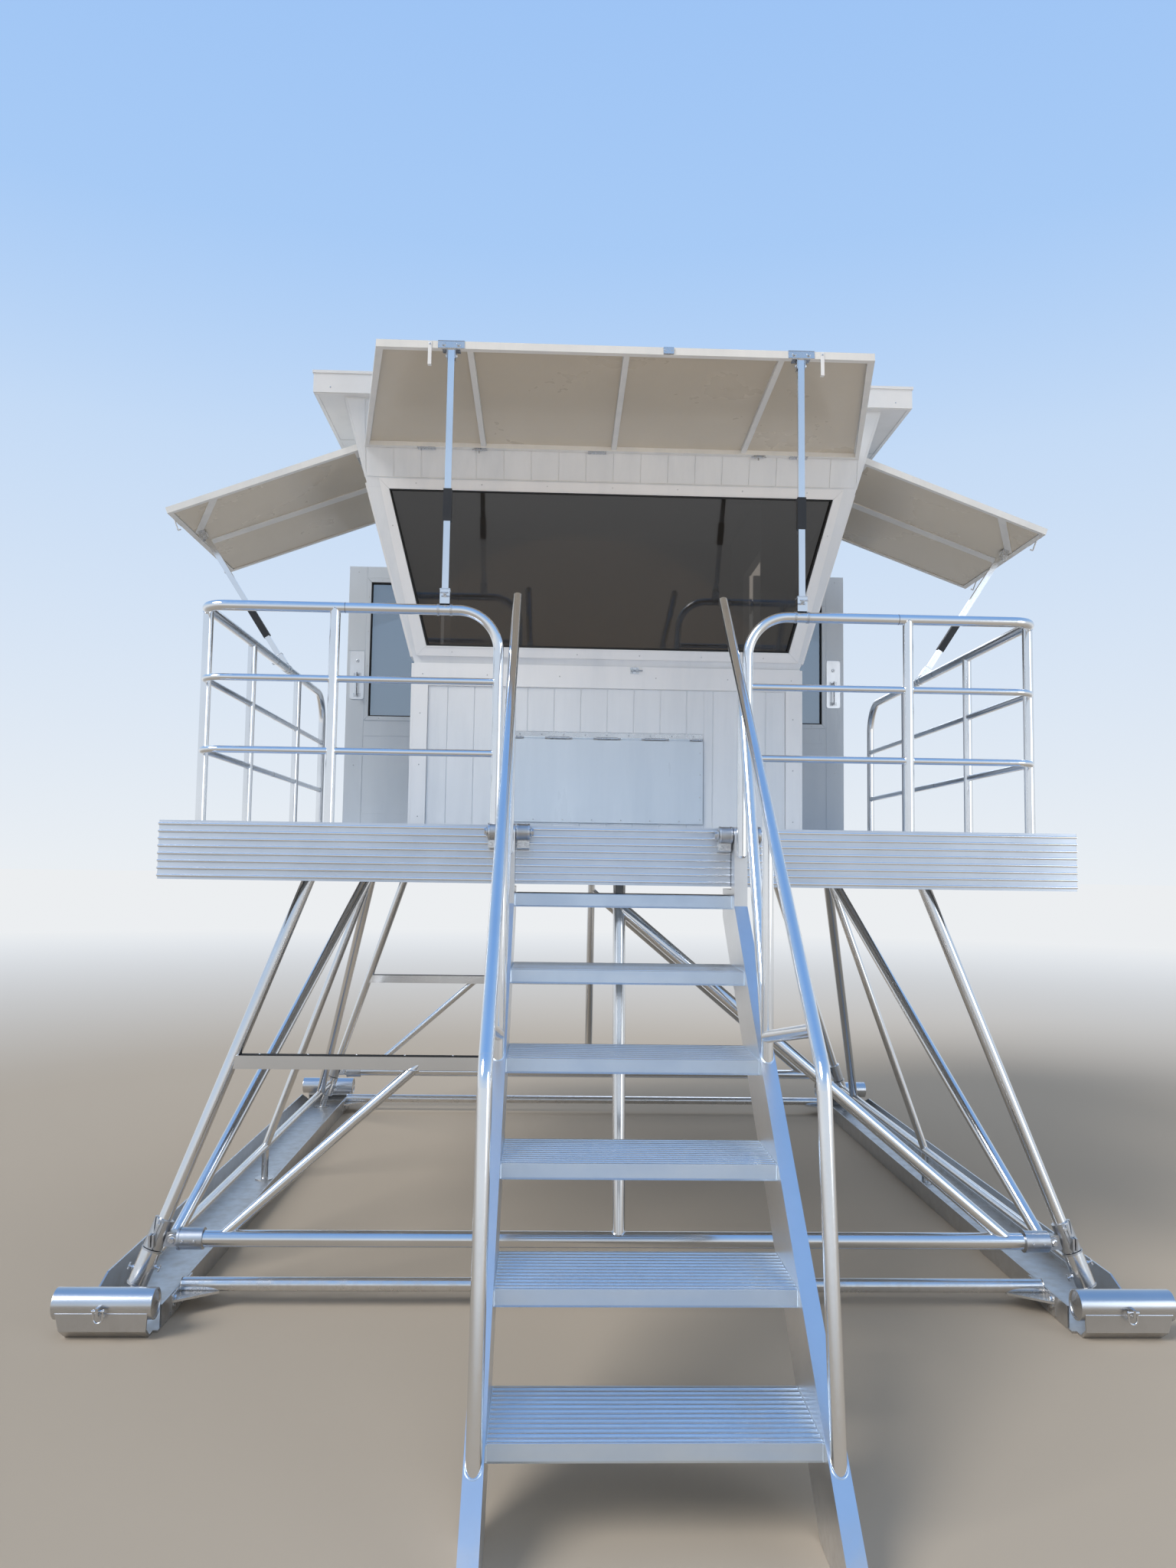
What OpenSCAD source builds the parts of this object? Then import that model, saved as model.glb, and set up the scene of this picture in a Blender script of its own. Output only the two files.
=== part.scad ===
// Lifeguard tower: a square plank deck on splayed tube legs and sled runners, with a
// flared look-out cabin, tube railings, propped window shutters and a hinged stair.
// The front of the tower faces -Y, the ground is z = 0 and all lengths are millimetres.

/* [Deck] */
// Width of the deck, left to right
deck_w = 4270; // [4100:10:4500]
// Depth of the deck, front to back
deck_d = 4270; // [4200:10:4600]
// Height of the walking surface above the ground
deck_h = 2190; // [2150:10:2300]
// Height of the ribbed edge plank
fascia_h = 270; // [240:5:275]
// Thickness of the floor planks
plank_t = 45; // [35:1:50]
// Number of floor planks, front to back
plank_count = 14; // [12:1:16]

/* [Legs and sled] */
// Half distance between the leg centres on the ground
foot_x = 2190; // [2150:5:2230]
// Half distance between the leg centres under the deck
top_x = 1505; // [1450:5:1560]
// How far each leg leans in from the deck's edge by the time it reaches the deck
leg_lean = 300; // [260:5:340]
// Outside diameter of the legs and of the long braces
leg_od = 60.3; // [55:0.1:65]
// Outside diameter of the sleeve at the bottom of each leg
sleeve_od = 88.9; // [84:0.1:96]
// Outside diameter of the pipe above each runner, and of the thinner posts
pipe_od = 48.3; // [40:0.1:52]
// Outside diameter of the cross tubes between the legs
cross_od = 73; // [66:0.1:78]
// Height of the cross tubes' centres
cross_z = 310; // [300:1:330]
// Height of the pipe above each runner
pipe_z = 210; // [195:1:215]
// Inner edge of each runner
runner_in = 1975; // [1960:5:1990]
// Width of each runner
runner_w = 350; // [340:5:365]
// Thickness of the runner sheet
runner_t = 8; // [6:1:10]
// Height of the runner's inner flange
inner_flange = 100; // [90:1:110]
// Height of the runner's outer flange
outer_flange = 135; // [115:1:150]
// Outside diameter of the nose pipes
nose_od = 127; // [110:1:135]
// Length of the nose pipes
nose_len = 412; // [405:1:425]
// Distance from the deck's edge out to the nose pipes' centres
nose_reach = 240; // [220:5:280]
// Height of the nose pipes' centres
nose_z = 135; // [120:1:145]

/* [Railings] */
// Height of the top rail's upper side above the deck
rail_h = 1070; // [1000:5:1100]
// Outside diameter of the top rails and posts
rail_od = 50.8; // [45:0.1:55]
// Outside diameter of the two lower rails
bar_od = 33.4; // [28:0.1:38]
// Distance of the railings from the deck's edge, side to side
rail_side_inset = 103; // [90:1:120]
// Distance of the front railings from the deck's edge
rail_front_inset = 176; // [160:1:200]
// Half width of the gap for the stair
rail_gap = 606; // [600:1:640]
// Centre of the intermediate front posts
rail_post_x = 1396; // [1300:1:1500]
// Radius of the curves at the free ends of the railings
rail_bend = 200; // [150:5:220]
// Plan radius of the rounded corners
rail_corner = 100; // [80:5:150]
// Place of the free end of the side railings
side_rail_end = 3030; // [2950:5:3100]

/* [Cabin] */
// Width of the cabin at the deck
cab_w = 2410; // [2380:10:2440]
// Depth of the cabin
cab_d = 2440; // [2400:10:2480]
// Distance from the deck's edge to the cabin's front wall
cab_y = 1718; // [1650:2:1750]
// Wall thickness
wall_t = 50; // [40:1:60]
// Height of the sill, where the walls begin to flare
sill_h = 1068; // [1000:2:1100]
// Height of the soffit above the deck
soffit_h = 2578; // [2540:2:2620]
// Angle of the flared walls from the vertical
flare = 15; // [13:0.5:16]
// Height of the roof's edge
roof_t = 132; // [110:2:150]
// Half width of the roof
roof_half = 1780; // [1760:5:1800]
// Distance from the deck's edge to the front of the roof
roof_y = 1250; // [1230:2:1260]
// Overhang of the roof behind the cabin
roof_back = 60; // [40:2:80]
// Height of the window's lower edge above the deck, along the flared wall
window_low = 1160; // [1140:2:1200]
// Distance of the window's upper edge below the soffit
window_drop = 494; // [478:2:538]
// Margin between the window openings' lower corners and the corners of the cabin
window_side = 92; // [80:1:110]
// Margin between the window openings' upper corners and the corners of the cabin
window_side_top = 120; // [90:1:130]
// Width of the window frame
frame_w = 52; // [40:1:60]
// Depth of the band of board along the sill
band_h = 142; // [120:2:150]
// Thickness of the trim boards
trim_t = 14; // [10:1:18]

/* [Doors and hatch] */
// Width of each door
door_w = 711; // [680:1:714]
// Height of each door
door_h = 2120; // [2080:2:2150]
// Door thickness
door_t = 45; // [38:1:50]
// Distance from the deck's edge to the door hinges
hinge_y = 3516; // [3500:2:3540]
// Width of the low hatch in the front wall
hatch_w = 1194; // [1150:2:1210]
// Height of the low hatch
hatch_h = 512; // [480:2:540]
// Height of the hatch's hinge above the deck
hatch_top = 600; // [590:2:640]
// Hatch thickness
hatch_t = 14; // [10:1:18]

/* [Shutters] */
// Depth of the shutters' hinges below the soffit
shutter_drop = 238; // [220:2:260]
// Length of each shutter from its hinge to its outer edge
shutter_len = 1200; // [1180:5:1230]
// Thickness of the shutters' rim
shutter_t = 38; // [32:1:45]
// Upward tilt of the front shutter
front_tilt = 2.5; // [0:0.5:6]
// Downward tilt of the side shutters
side_tilt = 20.5; // [19:0.5:22]
// Half width of the front shutter at its hinge
shutter_hinge_half = 1490; // [1460:2:1510]
// Half width of the front shutter at its outer edge
shutter_edge_half = 1240; // [1200:2:1260]
// Width of the side shutters
side_shutter_w = 1330; // [1300:5:1340]
// Side of the square prop tubes
prop_w = 32; // [28:1:36]
// Place of the front props, left and right of centre
prop_x = 870; // [850:2:900]
// Place of the side props behind the deck's edge
side_prop_y = 1900; // [1860:5:1960]

/* [Stair] */
// Number of treads
tread_count = 6; // [6:1:6]
// Going of the stair
tread_run = 345; // [340:1:352]
// Width of the treads
tread_w = 1000; // [960:5:1010]
// Depth of each tread
tread_d = 370; // [340:5:385]
// Depth of the top tread, which stops short of the centre post
top_tread_d = 280; // [250:5:285]
// Height of the treads' edges
tread_t = 60; // [50:1:65]
// Width of the stringers
stringer_w = 60; // [50:1:60]
// Depth of the stringers, square to their slope
stringer_d = 275; // [240:5:285]
// Outside diameter of the handrails
handrail_od = 48.3; // [42:0.1:48.3]
// Height of the handrails' lower corners above the line of the treads
handrail_low = 940; // [880:5:980]
// Height of the handrails' upper ends above the line of the treads
handrail_high = 1040; // [980:5:1080]
// Distance of the handrails' upper ends behind the deck's edge
handrail_back = 475; // [430:5:500]

/* [Hidden] */
$fn = 48;

// Standing clearance between pieces that only touch
seat = 0.3;
// Radial clearance of a pin in its eye
pin_gap = 0.08;
// Clearance round the edges of what swings
swing_gap = 8;

// The stair: its slope follows from the deck's height and the going
rise = deck_h / (tread_count + 1);
stair_slope = rise / tread_run;
stair_angle = atan(stair_slope);
first_nose_y = -37;
stringer_proud = 10;
pivot_y = -50;
pivot_z = deck_h - 33;
pivot_d = 30;
pivot_eye = 76;
// The height of the line over the treads' noses at y
function nose_line(y) = deck_h - rise + stair_slope * (y - first_nose_y);

// The tower is centred front to back between the stair's foot and the rear towing eyes
tow_eye = 42;
foot_toe_y = first_nose_y - (deck_h - rise) / stair_slope - stringer_proud / sin(stair_angle);
rear_end_y = deck_d + nose_reach + nose_od / 2 + tow_eye;
front_y = -(foot_toe_y + rear_end_y) / 2;

// The deck's frame, and the legs that lean in two ways to meet it
beam_h = 100;
beam_w = 60;
beam_z = deck_h - fascia_h + 10;
joist_w = 50;
fascia_t = 45;
web_t = 8;
leg_dx = (foot_x - top_x) / beam_z;
leg_dy = leg_lean / beam_z;
// A point on the axis of the right front leg at height z
function leg_at(z) = [foot_x - leg_dx * z, leg_dy * z, z];

rail_z = deck_h + rail_h - rail_od / 2;
bar_step = (rail_h - rail_od / 2) / 3;
rail_side_x = deck_w / 2 - rail_side_inset;

sill_z = deck_h + sill_h;
soffit_z = deck_h + soffit_h;
cab_half = cab_w / 2;
cab_back = cab_y + cab_d;
// How far the flared wall stands out at height z
function flare_out(z) = (z - sill_z) * tan(flare);

// Places a piece that is drawn with the deck's front edge at y = 0
module placed() { translate([0, front_y, 0]) children(); }
// The same piece on the left
module on_left() { mirror([1, 0, 0]) children(); }
// The same piece on both sides
module both_sides() { children(); on_left() children(); }
// The front piece turned round to the back of the deck
module at_back() { translate([0, deck_d, 0]) mirror([0, 1, 0]) children(); }
// The same piece at the front and at the back
module both_ends() { children(); at_back() children(); }

// A round bar from a to b, turned on its axis so that its seam meets no other bar
turn = 37.5;
module rod(a, b, d) {
    v = b - a;
    translate(a) rotate([0, acos(v[2] / norm(v)), atan2(v[1], v[0])]) rotate([0, 0, turn])
        cylinder(d = d, h = norm(v));
}
// A plug with a bevelled edge that closes a bar's end at b
module end_plug(a, b, d) {
    v = b - a;
    translate(b) rotate([0, acos(v[2] / norm(v)), atan2(v[1], v[0])]) rotate([0, 0, turn])
        translate([0, 0, -1]) cylinder(d1 = 0.92 * d, d2 = 0.6 * d, h = 0.18 * d);
}
// A length along the right front leg, between two heights
module leg_bar(z0, z1, d) { rod(leg_at(z0), leg_at(z1), d); }
// An elbow that laps a little into the straight bars at its two ends, and is as much
// thinner as an elbow's spigot
elbow_lap = 1.5;
module elbow(r, d, sweep) {
    rotate([0, 0, -elbow_lap]) rotate_extrude(angle = sweep + 2 * elbow_lap)
        translate([r, 0]) circle(d = d - 2 * seat);
}
// The same in the XZ plane, from the +X side up
module ring_part(r, d, sweep) { rotate([90, 0, 0]) elbow(r, d, sweep); }
// A quarter bend in plan, from the -Y side round to the +X side
module corner_bend(r, d) { rotate([0, 0, -90]) elbow(r, d, 90); }
// Cuts what passes under the deck flat, where the beams sit on it
module under_beams() {
    difference() {
        children();
        translate([-deck_w, -deck_d, beam_z]) cube([2 * deck_w, 3 * deck_d, deck_h]);
    }
}
// A wide sheet in 2D: a lower band, what stands beside an opening, and an upper band
module bands(lo, hi) {
    wide = 3000;
    translate([-wide, -wide]) square([2 * wide, wide + lo - seat / 2]);
    difference() {
        translate([-wide, lo + seat / 2]) square([3 * wide, hi - lo - seat]);
        children();
    }
    translate([-wide, hi + seat / 2]) square([2 * wide, wide]);
}

// A runner: a sheet tray with a low inner flange and a taller outer one, cut to a taper
runner_end = 40;
flange_end = 60;
flange_taper = 320;
module runner() {
    end_y = -nose_reach + runner_end;
    flange_y = -nose_reach + flange_end;
    translate([runner_in, end_y, 0]) cube([runner_w, deck_d - 2 * end_y, runner_t]);
    translate([runner_in, flange_y + 20, 0])
        cube([runner_t, deck_d - 2 * flange_y - 40, inner_flange]);
    translate([runner_in + runner_w, 0, 0]) rotate([0, -90, 0]) linear_extrude(runner_t)
        polygon([[0, flange_y], [20, flange_y], [outer_flange, flange_y + flange_taper],
            [outer_flange, deck_d - flange_y - flange_taper], [20, deck_d - flange_y],
            [0, deck_d - flange_y]]);
}
module runners() { color("silver") both_sides() runner(); }

// A closed pipe across a runner's end, a bent plate that tapers to the ground, and an eye
nose_x = runner_in + nose_len / 2;
tow_bolt = 12;
module nose_plate() {
    back = runner_end - seat;
    r = nose_od / 2;
    intersection() {
        rotate([0, -90, 0]) linear_extrude(nose_len, center = true)
            polygon([[-20, -r + 2], [40 - nose_z, -r + 6], [-nose_z, -10], [-nose_z, back],
                [runner_t - nose_z, back], [runner_t - nose_z, 0], [46 - nose_z, 16 - r],
                [-20, 12 - r]]);
        rotate([90, 0, 0]) linear_extrude(4 * r, center = true)
            polygon([[12 - nose_len / 2, 0], [nose_len / 2 - 12, 0],
                [nose_len / 2 - 42, -nose_z], [22 - nose_len / 2, -nose_z]]);
    }
}
module nose() {
    translate([nose_x, -nose_reach, nose_z]) {
        difference() {
            union() {
                rotate([0, 90, 0]) cylinder(d = nose_od, h = nose_len, center = true);
                nose_plate();
                translate([-tow_bolt / 2, -nose_od / 2 - tow_eye, -16])
                    cube([tow_bolt, tow_eye + 10, 32]);
            }
            for (e = [-1, 1]) translate([e * nose_len / 2, 0, 0]) rotate([0, 90, 0])
                cylinder(d = nose_od - 14, h = 8, center = true);
            translate([0, -nose_od / 2 - tow_eye + 16, 0]) rotate([0, 90, 0])
                cylinder(d = tow_bolt, h = 2 * tow_bolt, center = true);
        }
    }
}
module runner_noses() { color("silver") both_ends() both_sides() nose(); }

// A shackle hanging in each towing eye
module shackle() {
    bow = 19;
    wire = 10;
    translate([nose_x, -nose_reach - nose_od / 2 - tow_eye + 16, nose_z]) {
        rotate([0, 90, 0]) cylinder(d = tow_bolt - 2 * pin_gap, h = 2 * bow + wire + 4, center = true);
        for (e = [-1, 1]) translate([e * bow, 0, -30]) cylinder(d = wire, h = 36);
        translate([0, 0, -30]) mirror([0, 0, 1]) ring_part(bow, wire, 180);
    }
}
module tow_shackles() { color("gainsboro") both_ends() both_sides() shackle(); }

// The pipe above a runner, held up at mid length by a stub post with a round foot
foot_disc = 120;
module runner_pipe() {
    p = leg_at(pipe_z);
    difference() {
        union() {
            rod(p, [p[0], deck_d - p[1], pipe_z], pipe_od);
            translate([p[0], deck_d / 2, runner_t]) {
                cylinder(d = foot_disc, h = 6);
                cylinder(d = pipe_od - 6, h = pipe_z - runner_t);
            }
        }
        both_ends() leg_bar(40, 320, sleeve_od + 2 * seat);
    }
}
module runner_pipes() { color("silver") both_sides() runner_pipe(); }

// A leg: a jack tube on its foot, a sleeve over it, and the long tube up to the deck
sleeve_low = 120;
sleeve_top = 268;
module leg() {
    under_beams() {
        leg_bar(sleeve_top - 20, beam_z + 60, leg_od);
        leg_bar(sleeve_low, sleeve_top, sleeve_od);
        difference() {
            leg_bar(0, sleeve_low + 20, pipe_od);
            translate([foot_x - foot_disc, -foot_disc, -foot_disc])
                cube([2 * foot_disc, 2 * foot_disc, foot_disc + runner_t + 3]);
        }
        translate([foot_x, 0, runner_t]) rotate([0, 0, turn]) cylinder(d = foot_disc, h = 6);
    }
}
module front_legs() { color("silver") both_sides() leg(); }
module rear_legs() { color("silver") at_back() both_sides() leg(); }

// One side under the deck: two long braces that rise to the middle, and a post there
brace_foot_y = 434;
brace_spread = 78;
module side_brace() {
    foot = [leg_at(pipe_z)[0], brace_foot_y, pipe_z];
    top = [top_x, deck_d / 2 - brace_spread, beam_z];
    rod(foot, foot + (top - foot) * 1.05, leg_od);
}
module mid_post() {
    foot = [leg_at(pipe_z)[0], deck_d / 2, pipe_z];
    top = [top_x, deck_d / 2, beam_z];
    rod(foot, foot + (top - foot) * 1.05, pipe_od);
}
module side_braces() {
    p = leg_at(pipe_z);
    under_beams() difference() {
        union() {
            both_ends() side_brace();
            mid_post();
        }
        rod([p[0], 0, pipe_z], [p[0], deck_d, pipe_z], pipe_od + 2 * seat);
        translate([p[0] - foot_disc, 0, 0]) cube([2 * foot_disc, deck_d, pipe_z]);
    }
}
module left_side_braces() { color("silver") on_left() side_braces(); }
module right_side_braces() { color("silver") side_braces(); }

// A swivel tee: a split collar on the leg, a lug, a disc and the cross tube's socket
cross_end = 1964;
socket_in = 1868;
collar_low = 272;
collar_top = 392;
module clamp() {
    c = leg_at(cross_z);
    difference() {
        union() {
            leg_bar(collar_low, collar_top, leg_od + 26);
            translate([cross_end + 11, c[1] - 15, cross_z - 32])
                cube([c[0] - cross_end - 11, 30, 64]);
            translate([cross_end + 38, c[1] + 26, cross_z]) rotate([90, 0, 0])
                cylinder(d = 62, h = 52);
            translate([socket_in, c[1], cross_z]) rotate([0, 90, 0])
                cylinder(d = cross_od + 21, h = cross_end + 16 - socket_in);
            translate([c[0] - 12, c[1] - 74, cross_z - 20]) cube([24, 40, 54]);
        }
        leg_bar(collar_low - leg_od, collar_top + leg_od, leg_od + 2 * seat);
        translate([socket_in - 10, c[1], cross_z]) rotate([0, 90, 0])
            cylinder(d = cross_od + 2 * seat, h = cross_end + seat - socket_in + 10);
        translate([c[0] - 3, c[1] - 90, cross_z - 120]) cube([6, 90, 280]);
    }
}
module leg_clamps() { color("gainsboro") both_ends() both_sides() clamp(); }
module cross_tubes() {
    y = leg_at(cross_z)[1];
    color("silver") both_ends() rod([-cross_end, y, cross_z], [cross_end, y, cross_z], cross_od);
}

// The low tube between the runners, with an end plate and a gusset on each runner
ground_y = 85;
ground_z = 98;
module ground_tube() {
    plate_t = 8;
    x_end = runner_in - plate_t;
    rod([-x_end, ground_y, ground_z], [x_end, ground_y, ground_z], leg_od);
    both_sides() {
        translate([x_end, -50, 12]) cube([plate_t, 280, 84]);
        translate([0, 0, ground_z - 34]) linear_extrude(10)
            polygon([[x_end, -50], [x_end, 230], [x_end - 170, ground_y + 20],
                [x_end - 170, ground_y - 20]]);
    }
}
module ground_tubes() { color("silver") both_ends() ground_tube(); }

// Bracing between the legs: centre post, long diagonal on the right, rack bar and its
// short strut on the left, each coped to what it meets
rack_z = 1075;
rack_h = 61;
rack_t = 50;
strut_x = 930;
diagonal_x = 1800;
diagonal_drop = 115;
function lean(x, z) = [x, leg_dy * z, z];
module centre_post(d) { rod(lean(0, cross_z), lean(0, beam_z + beam_h), d); }
module long_diagonal() { rod(lean(diagonal_x, cross_z), lean(0, beam_z - diagonal_drop), leg_od); }
module short_strut() { rod(lean(-diagonal_x, cross_z), lean(-strut_x, rack_z), pipe_od); }
module rack_bar(grow) {
    x = leg_at(rack_z)[0];
    translate([-x, leg_dy * rack_z - rack_t / 2 - grow, rack_z - rack_h / 2 - grow])
        cube([x, rack_t + 2 * grow, rack_h + 2 * grow]);
}
module frame_bracing() {
    cross_gap = cross_od + 2 * seat;
    post_gap = leg_od + 2 * seat;
    y = leg_at(cross_z)[1];
    under_beams() difference() {
        union() {
            centre_post(leg_od);
            difference() {
                long_diagonal();
                centre_post(post_gap);
            }
            difference() {
                rack_bar(0);
                centre_post(post_gap);
                on_left() leg_bar(cross_z, beam_z, post_gap);
            }
            difference() {
                short_strut();
                rack_bar(seat);
            }
        }
        rod([-cross_end, y, cross_z], [cross_end, y, cross_z], cross_gap);
        translate([-deck_w / 2, -leg_lean, 0]) cube([deck_w, 3 * leg_lean, cross_z]);
    }
}
module front_bracing() { color("silver") frame_bracing(); }
module rear_bracing() { color("silver") at_back() frame_bracing(); }

// The deck
beam_inset = 90;
module deck_beams() {
    long = deck_d / 2 - leg_lean - beam_w - 2 * seat;
    color("darkgray") {
        for (y = [leg_lean, deck_d / 2, deck_d - leg_lean])
            translate([beam_inset - deck_w / 2, y - beam_w / 2, beam_z])
                cube([deck_w - 2 * beam_inset, beam_w, beam_h]);
        both_ends() both_sides()
            translate([top_x - beam_w / 2, leg_lean + beam_w / 2 + seat, beam_z])
                cube([beam_w, long, beam_h]);
    }
}
module deck_joists() {
    joist_z = beam_z + beam_h;
    pitch = (deck_w / 2 - 330) / 3;
    color("darkgray") for (i = [-3:3])
        translate([i * pitch - joist_w / 2, web_t + seat, joist_z])
            cube([joist_w, deck_d - 2 * web_t - 2 * seat, deck_h - plank_t - joist_z]);
}
module deck_planks() {
    pitch = (deck_d - 2 * fascia_t) / plank_count;
    color("silver") for (i = [0:plank_count - 1])
        translate([fascia_t + seat - deck_w / 2, fascia_t + i * pitch + 1, deck_h - plank_t])
            cube([deck_w - 2 * fascia_t - 2 * seat, pitch - 2, plank_t]);
}

// The ribbed edge plank: a channel whose face has eight raised lines, mitred at corners
module fascia_profile() {
    rib = 3;
    rib_count = 8;
    difference() {
        translate([rib, 0]) square([fascia_t - rib, fascia_h]);
        translate([web_t, web_t]) square([fascia_t, fascia_h - 2 * web_t]);
    }
    for (i = [0:rib_count - 1])
        translate([0, 12 + i * (fascia_h - 34) / (rib_count - 1)]) square([rib, 10]);
}
module fascia_bar(len) {
    intersection() {
        translate([-len / 2, 0, deck_h - fascia_h]) rotate([90, 0, 90])
            linear_extrude(len) fascia_profile();
        translate([0, 0, deck_h - fascia_h]) linear_extrude(fascia_h)
            polygon([[seat - len / 2, 0], [len / 2 - seat, 0],
                [len / 2 - seat - fascia_t, fascia_t], [seat + fascia_t - len / 2, fascia_t]]);
    }
}
module front_fascia() { color("silver") fascia_bar(deck_w); }
module rear_fascia() { color("silver") at_back() fascia_bar(deck_w); }
module side_fascias() {
    color("silver") both_sides()
        translate([deck_w / 2, deck_d / 2, 0]) rotate([0, 0, 90]) fascia_bar(deck_d);
}

// The railings: a post is a hair thinner than the rail that it meets
rail_split = rail_front_inset + rail_corner + 70;
post_od = rail_od - 1;
module front_railing() {
    y = rail_front_inset;
    corner_x = rail_side_x - rail_corner;
    rod([rail_gap, y, deck_h], [rail_gap, y, rail_z - rail_bend], rail_od);
    translate([rail_gap + rail_bend, y, rail_z - rail_bend]) on_left()
        ring_part(rail_bend, rail_od, 90);
    rod([rail_gap + rail_bend, y, rail_z], [corner_x, y, rail_z], rail_od);
    for (i = [1, 2]) rod([rail_gap, y, deck_h + i * bar_step],
        [corner_x, y, deck_h + i * bar_step], bar_od);
    for (i = [1, 2, 3]) {
        z = deck_h + i * bar_step;
        d = i == 3 ? rail_od : bar_od;
        translate([corner_x, y + rail_corner, z]) corner_bend(rail_corner, d);
        rod([rail_side_x, y + rail_corner, z], [rail_side_x, rail_split, z], d);
    }
    rod([rail_post_x, y, deck_h], [rail_post_x, y, rail_z], post_od);
    rod([rail_side_x, y + rail_corner, deck_h], [rail_side_x, y + rail_corner, rail_z], post_od);
}
module side_railing() {
    x = rail_side_x;
    last = side_rail_end;
    rod([x, last, deck_h], [x, last, rail_z - rail_bend], rail_od);
    translate([x, last - rail_bend, rail_z - rail_bend]) rotate([0, 0, 90])
        ring_part(rail_bend, rail_od, 90);
    rod([x, rail_split + seat, rail_z], [x, last - rail_bend, rail_z], rail_od);
    for (i = [1, 2]) rod([x, rail_split + seat, deck_h + i * bar_step],
        [x, last, deck_h + i * bar_step], bar_od);
    for (k = [0.34, 0.69]) rod([x, k * (last + rail_split / 2), deck_h],
        [x, k * (last + rail_split / 2), rail_z], post_od);
}
module left_front_railing() { color("silver") on_left() front_railing(); }
module right_front_railing() { color("silver") front_railing(); }
module left_side_railing() { color("silver") on_left() side_railing(); }
module right_side_railing() { color("silver") side_railing(); }

// The doorway in each side wall, and where the door hangs beside it
hinge_clear = 16;
hinge_x = cab_half + hinge_clear;
leaf_edge = 10;
doorway_front = hinge_y - leaf_edge - door_w - swing_gap;
doorway_back = hinge_y - 5;
doorway_top = deck_h + 15 + door_h + swing_gap;

// The front wall below the sill: it is pieced round the hatch's opening
hatch_lap = 25;
hatch_low = hatch_top - hatch_h + hatch_lap;
module front_wall() {
    half = hatch_w / 2 - hatch_lap;
    color("white") translate([0, cab_y + wall_t, deck_h]) rotate([90, 0, 0])
        linear_extrude(wall_t) intersection() {
            translate([-cab_half, 0]) square([cab_w, sill_h]);
            bands(hatch_low, hatch_top - hatch_lap)
                translate([-half, 0]) square([2 * half, sill_h]);
        }
}
// A side wall: the low wall ahead of the doorway, the upright cheek that closes the
// flare, the piece over the doorway and the piece behind it
module side_wall() {
    x = cab_half - wall_t;
    translate([x, cab_y + wall_t + seat, deck_h])
        cube([wall_t, doorway_front - cab_y - wall_t - seat, sill_h]);
    translate([0, doorway_front, sill_z + seat]) rotate([90, 0, 0]) linear_extrude(wall_t)
        polygon([[x, 0], [cab_half, 0], [cab_half + flare_out(soffit_z), soffit_z - sill_z - seat],
            [x, soffit_z - sill_z - seat]]);
    translate([x, doorway_front + seat, doorway_top])
        cube([wall_t, doorway_back - doorway_front - 2 * seat, soffit_z - doorway_top]);
    translate([x, doorway_back, deck_h])
        cube([wall_t, cab_back - wall_t - doorway_back - seat, soffit_h]);
}
module side_walls() { color("white") both_sides() side_wall(); }
module rear_wall() {
    color("white") translate([-cab_half, cab_back - wall_t, deck_h])
        cube([cab_w, wall_t, soffit_h]);
}

// The flared walls lean out from the sill. Their corners are mitred in plan, and each
// is pieced round its window.
window_lo = (window_low - sill_h) / cos(flare);
window_hi = (soffit_h - window_drop - sill_h) / cos(flare);
flare_reach = 700;
module in_front_wall(depth, inset) {
    translate([0, cab_y, sill_z]) rotate([flare, 0, 0]) translate([0, inset + depth, 0])
        rotate([90, 0, 0]) linear_extrude(depth) children();
}
module in_side_wall(depth, inset) {
    translate([cab_half, 0, sill_z]) rotate([0, flare, 0]) translate([-inset - depth, 0, 0])
        rotate([90, 0, 90]) linear_extrude(depth) children();
}
module front_window(m) {
    low_half = cab_half + window_lo * sin(flare) - window_side;
    high_half = cab_half + window_hi * sin(flare) - window_side_top;
    polygon([[-low_half - m, window_lo - m], [low_half + m, window_lo - m],
        [high_half + m, window_hi + m], [-high_half - m, window_hi + m]]);
}
window_back = 70;
module side_window(m) {
    back = doorway_front - wall_t - window_back;
    polygon([[cab_y - window_lo * sin(flare) + window_side - m, window_lo - m],
        [back + m, window_lo - m], [back + m, window_hi + m],
        [cab_y - window_hi * sin(flare) + window_side_top - m, window_hi + m]]);
}
module front_flared_wall() {
    color("white") intersection() {
        in_front_wall(wall_t, 0) bands(window_lo, window_hi) front_window(0);
        translate([0, 0, sill_z]) linear_extrude(soffit_z - sill_z)
            polygon([[-cab_half - flare_reach, cab_y - flare_reach],
                [cab_half + flare_reach, cab_y - flare_reach],
                [cab_half - 200, cab_y + 200], [200 - cab_half, cab_y + 200]]);
    }
}
module side_flared_wall() {
    back = doorway_front - wall_t - seat;
    intersection() {
        in_side_wall(wall_t, 0) bands(window_lo, window_hi) side_window(0);
        translate([0, 0, sill_z + seat]) linear_extrude(soffit_z - sill_z - seat)
            polygon([[cab_half + flare_reach, cab_y - flare_reach + 2 * seat],
                [cab_half + flare_reach, back], [cab_half - 200, back],
                [cab_half - 200, cab_y + 200 + 2 * seat]]);
    }
}
module left_flared_wall() { color("white") on_left() side_flared_wall(); }
module right_flared_wall() { color("white") side_flared_wall(); }

module window_frames() {
    lap = 10;
    color("white") {
        in_front_wall(trim_t, -trim_t - seat) difference() {
            front_window(frame_w);
            front_window(-lap);
        }
        both_sides() in_side_wall(trim_t, -trim_t - seat) difference() {
            side_window(frame_w);
            side_window(-lap);
        }
    }
}
module window_glass() {
    pane_t = 6;
    color("dimgray") {
        in_front_wall(pane_t, 18) front_window(-seat);
        both_sides() in_side_wall(pane_t, 18) side_window(-seat);
    }
}
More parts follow.
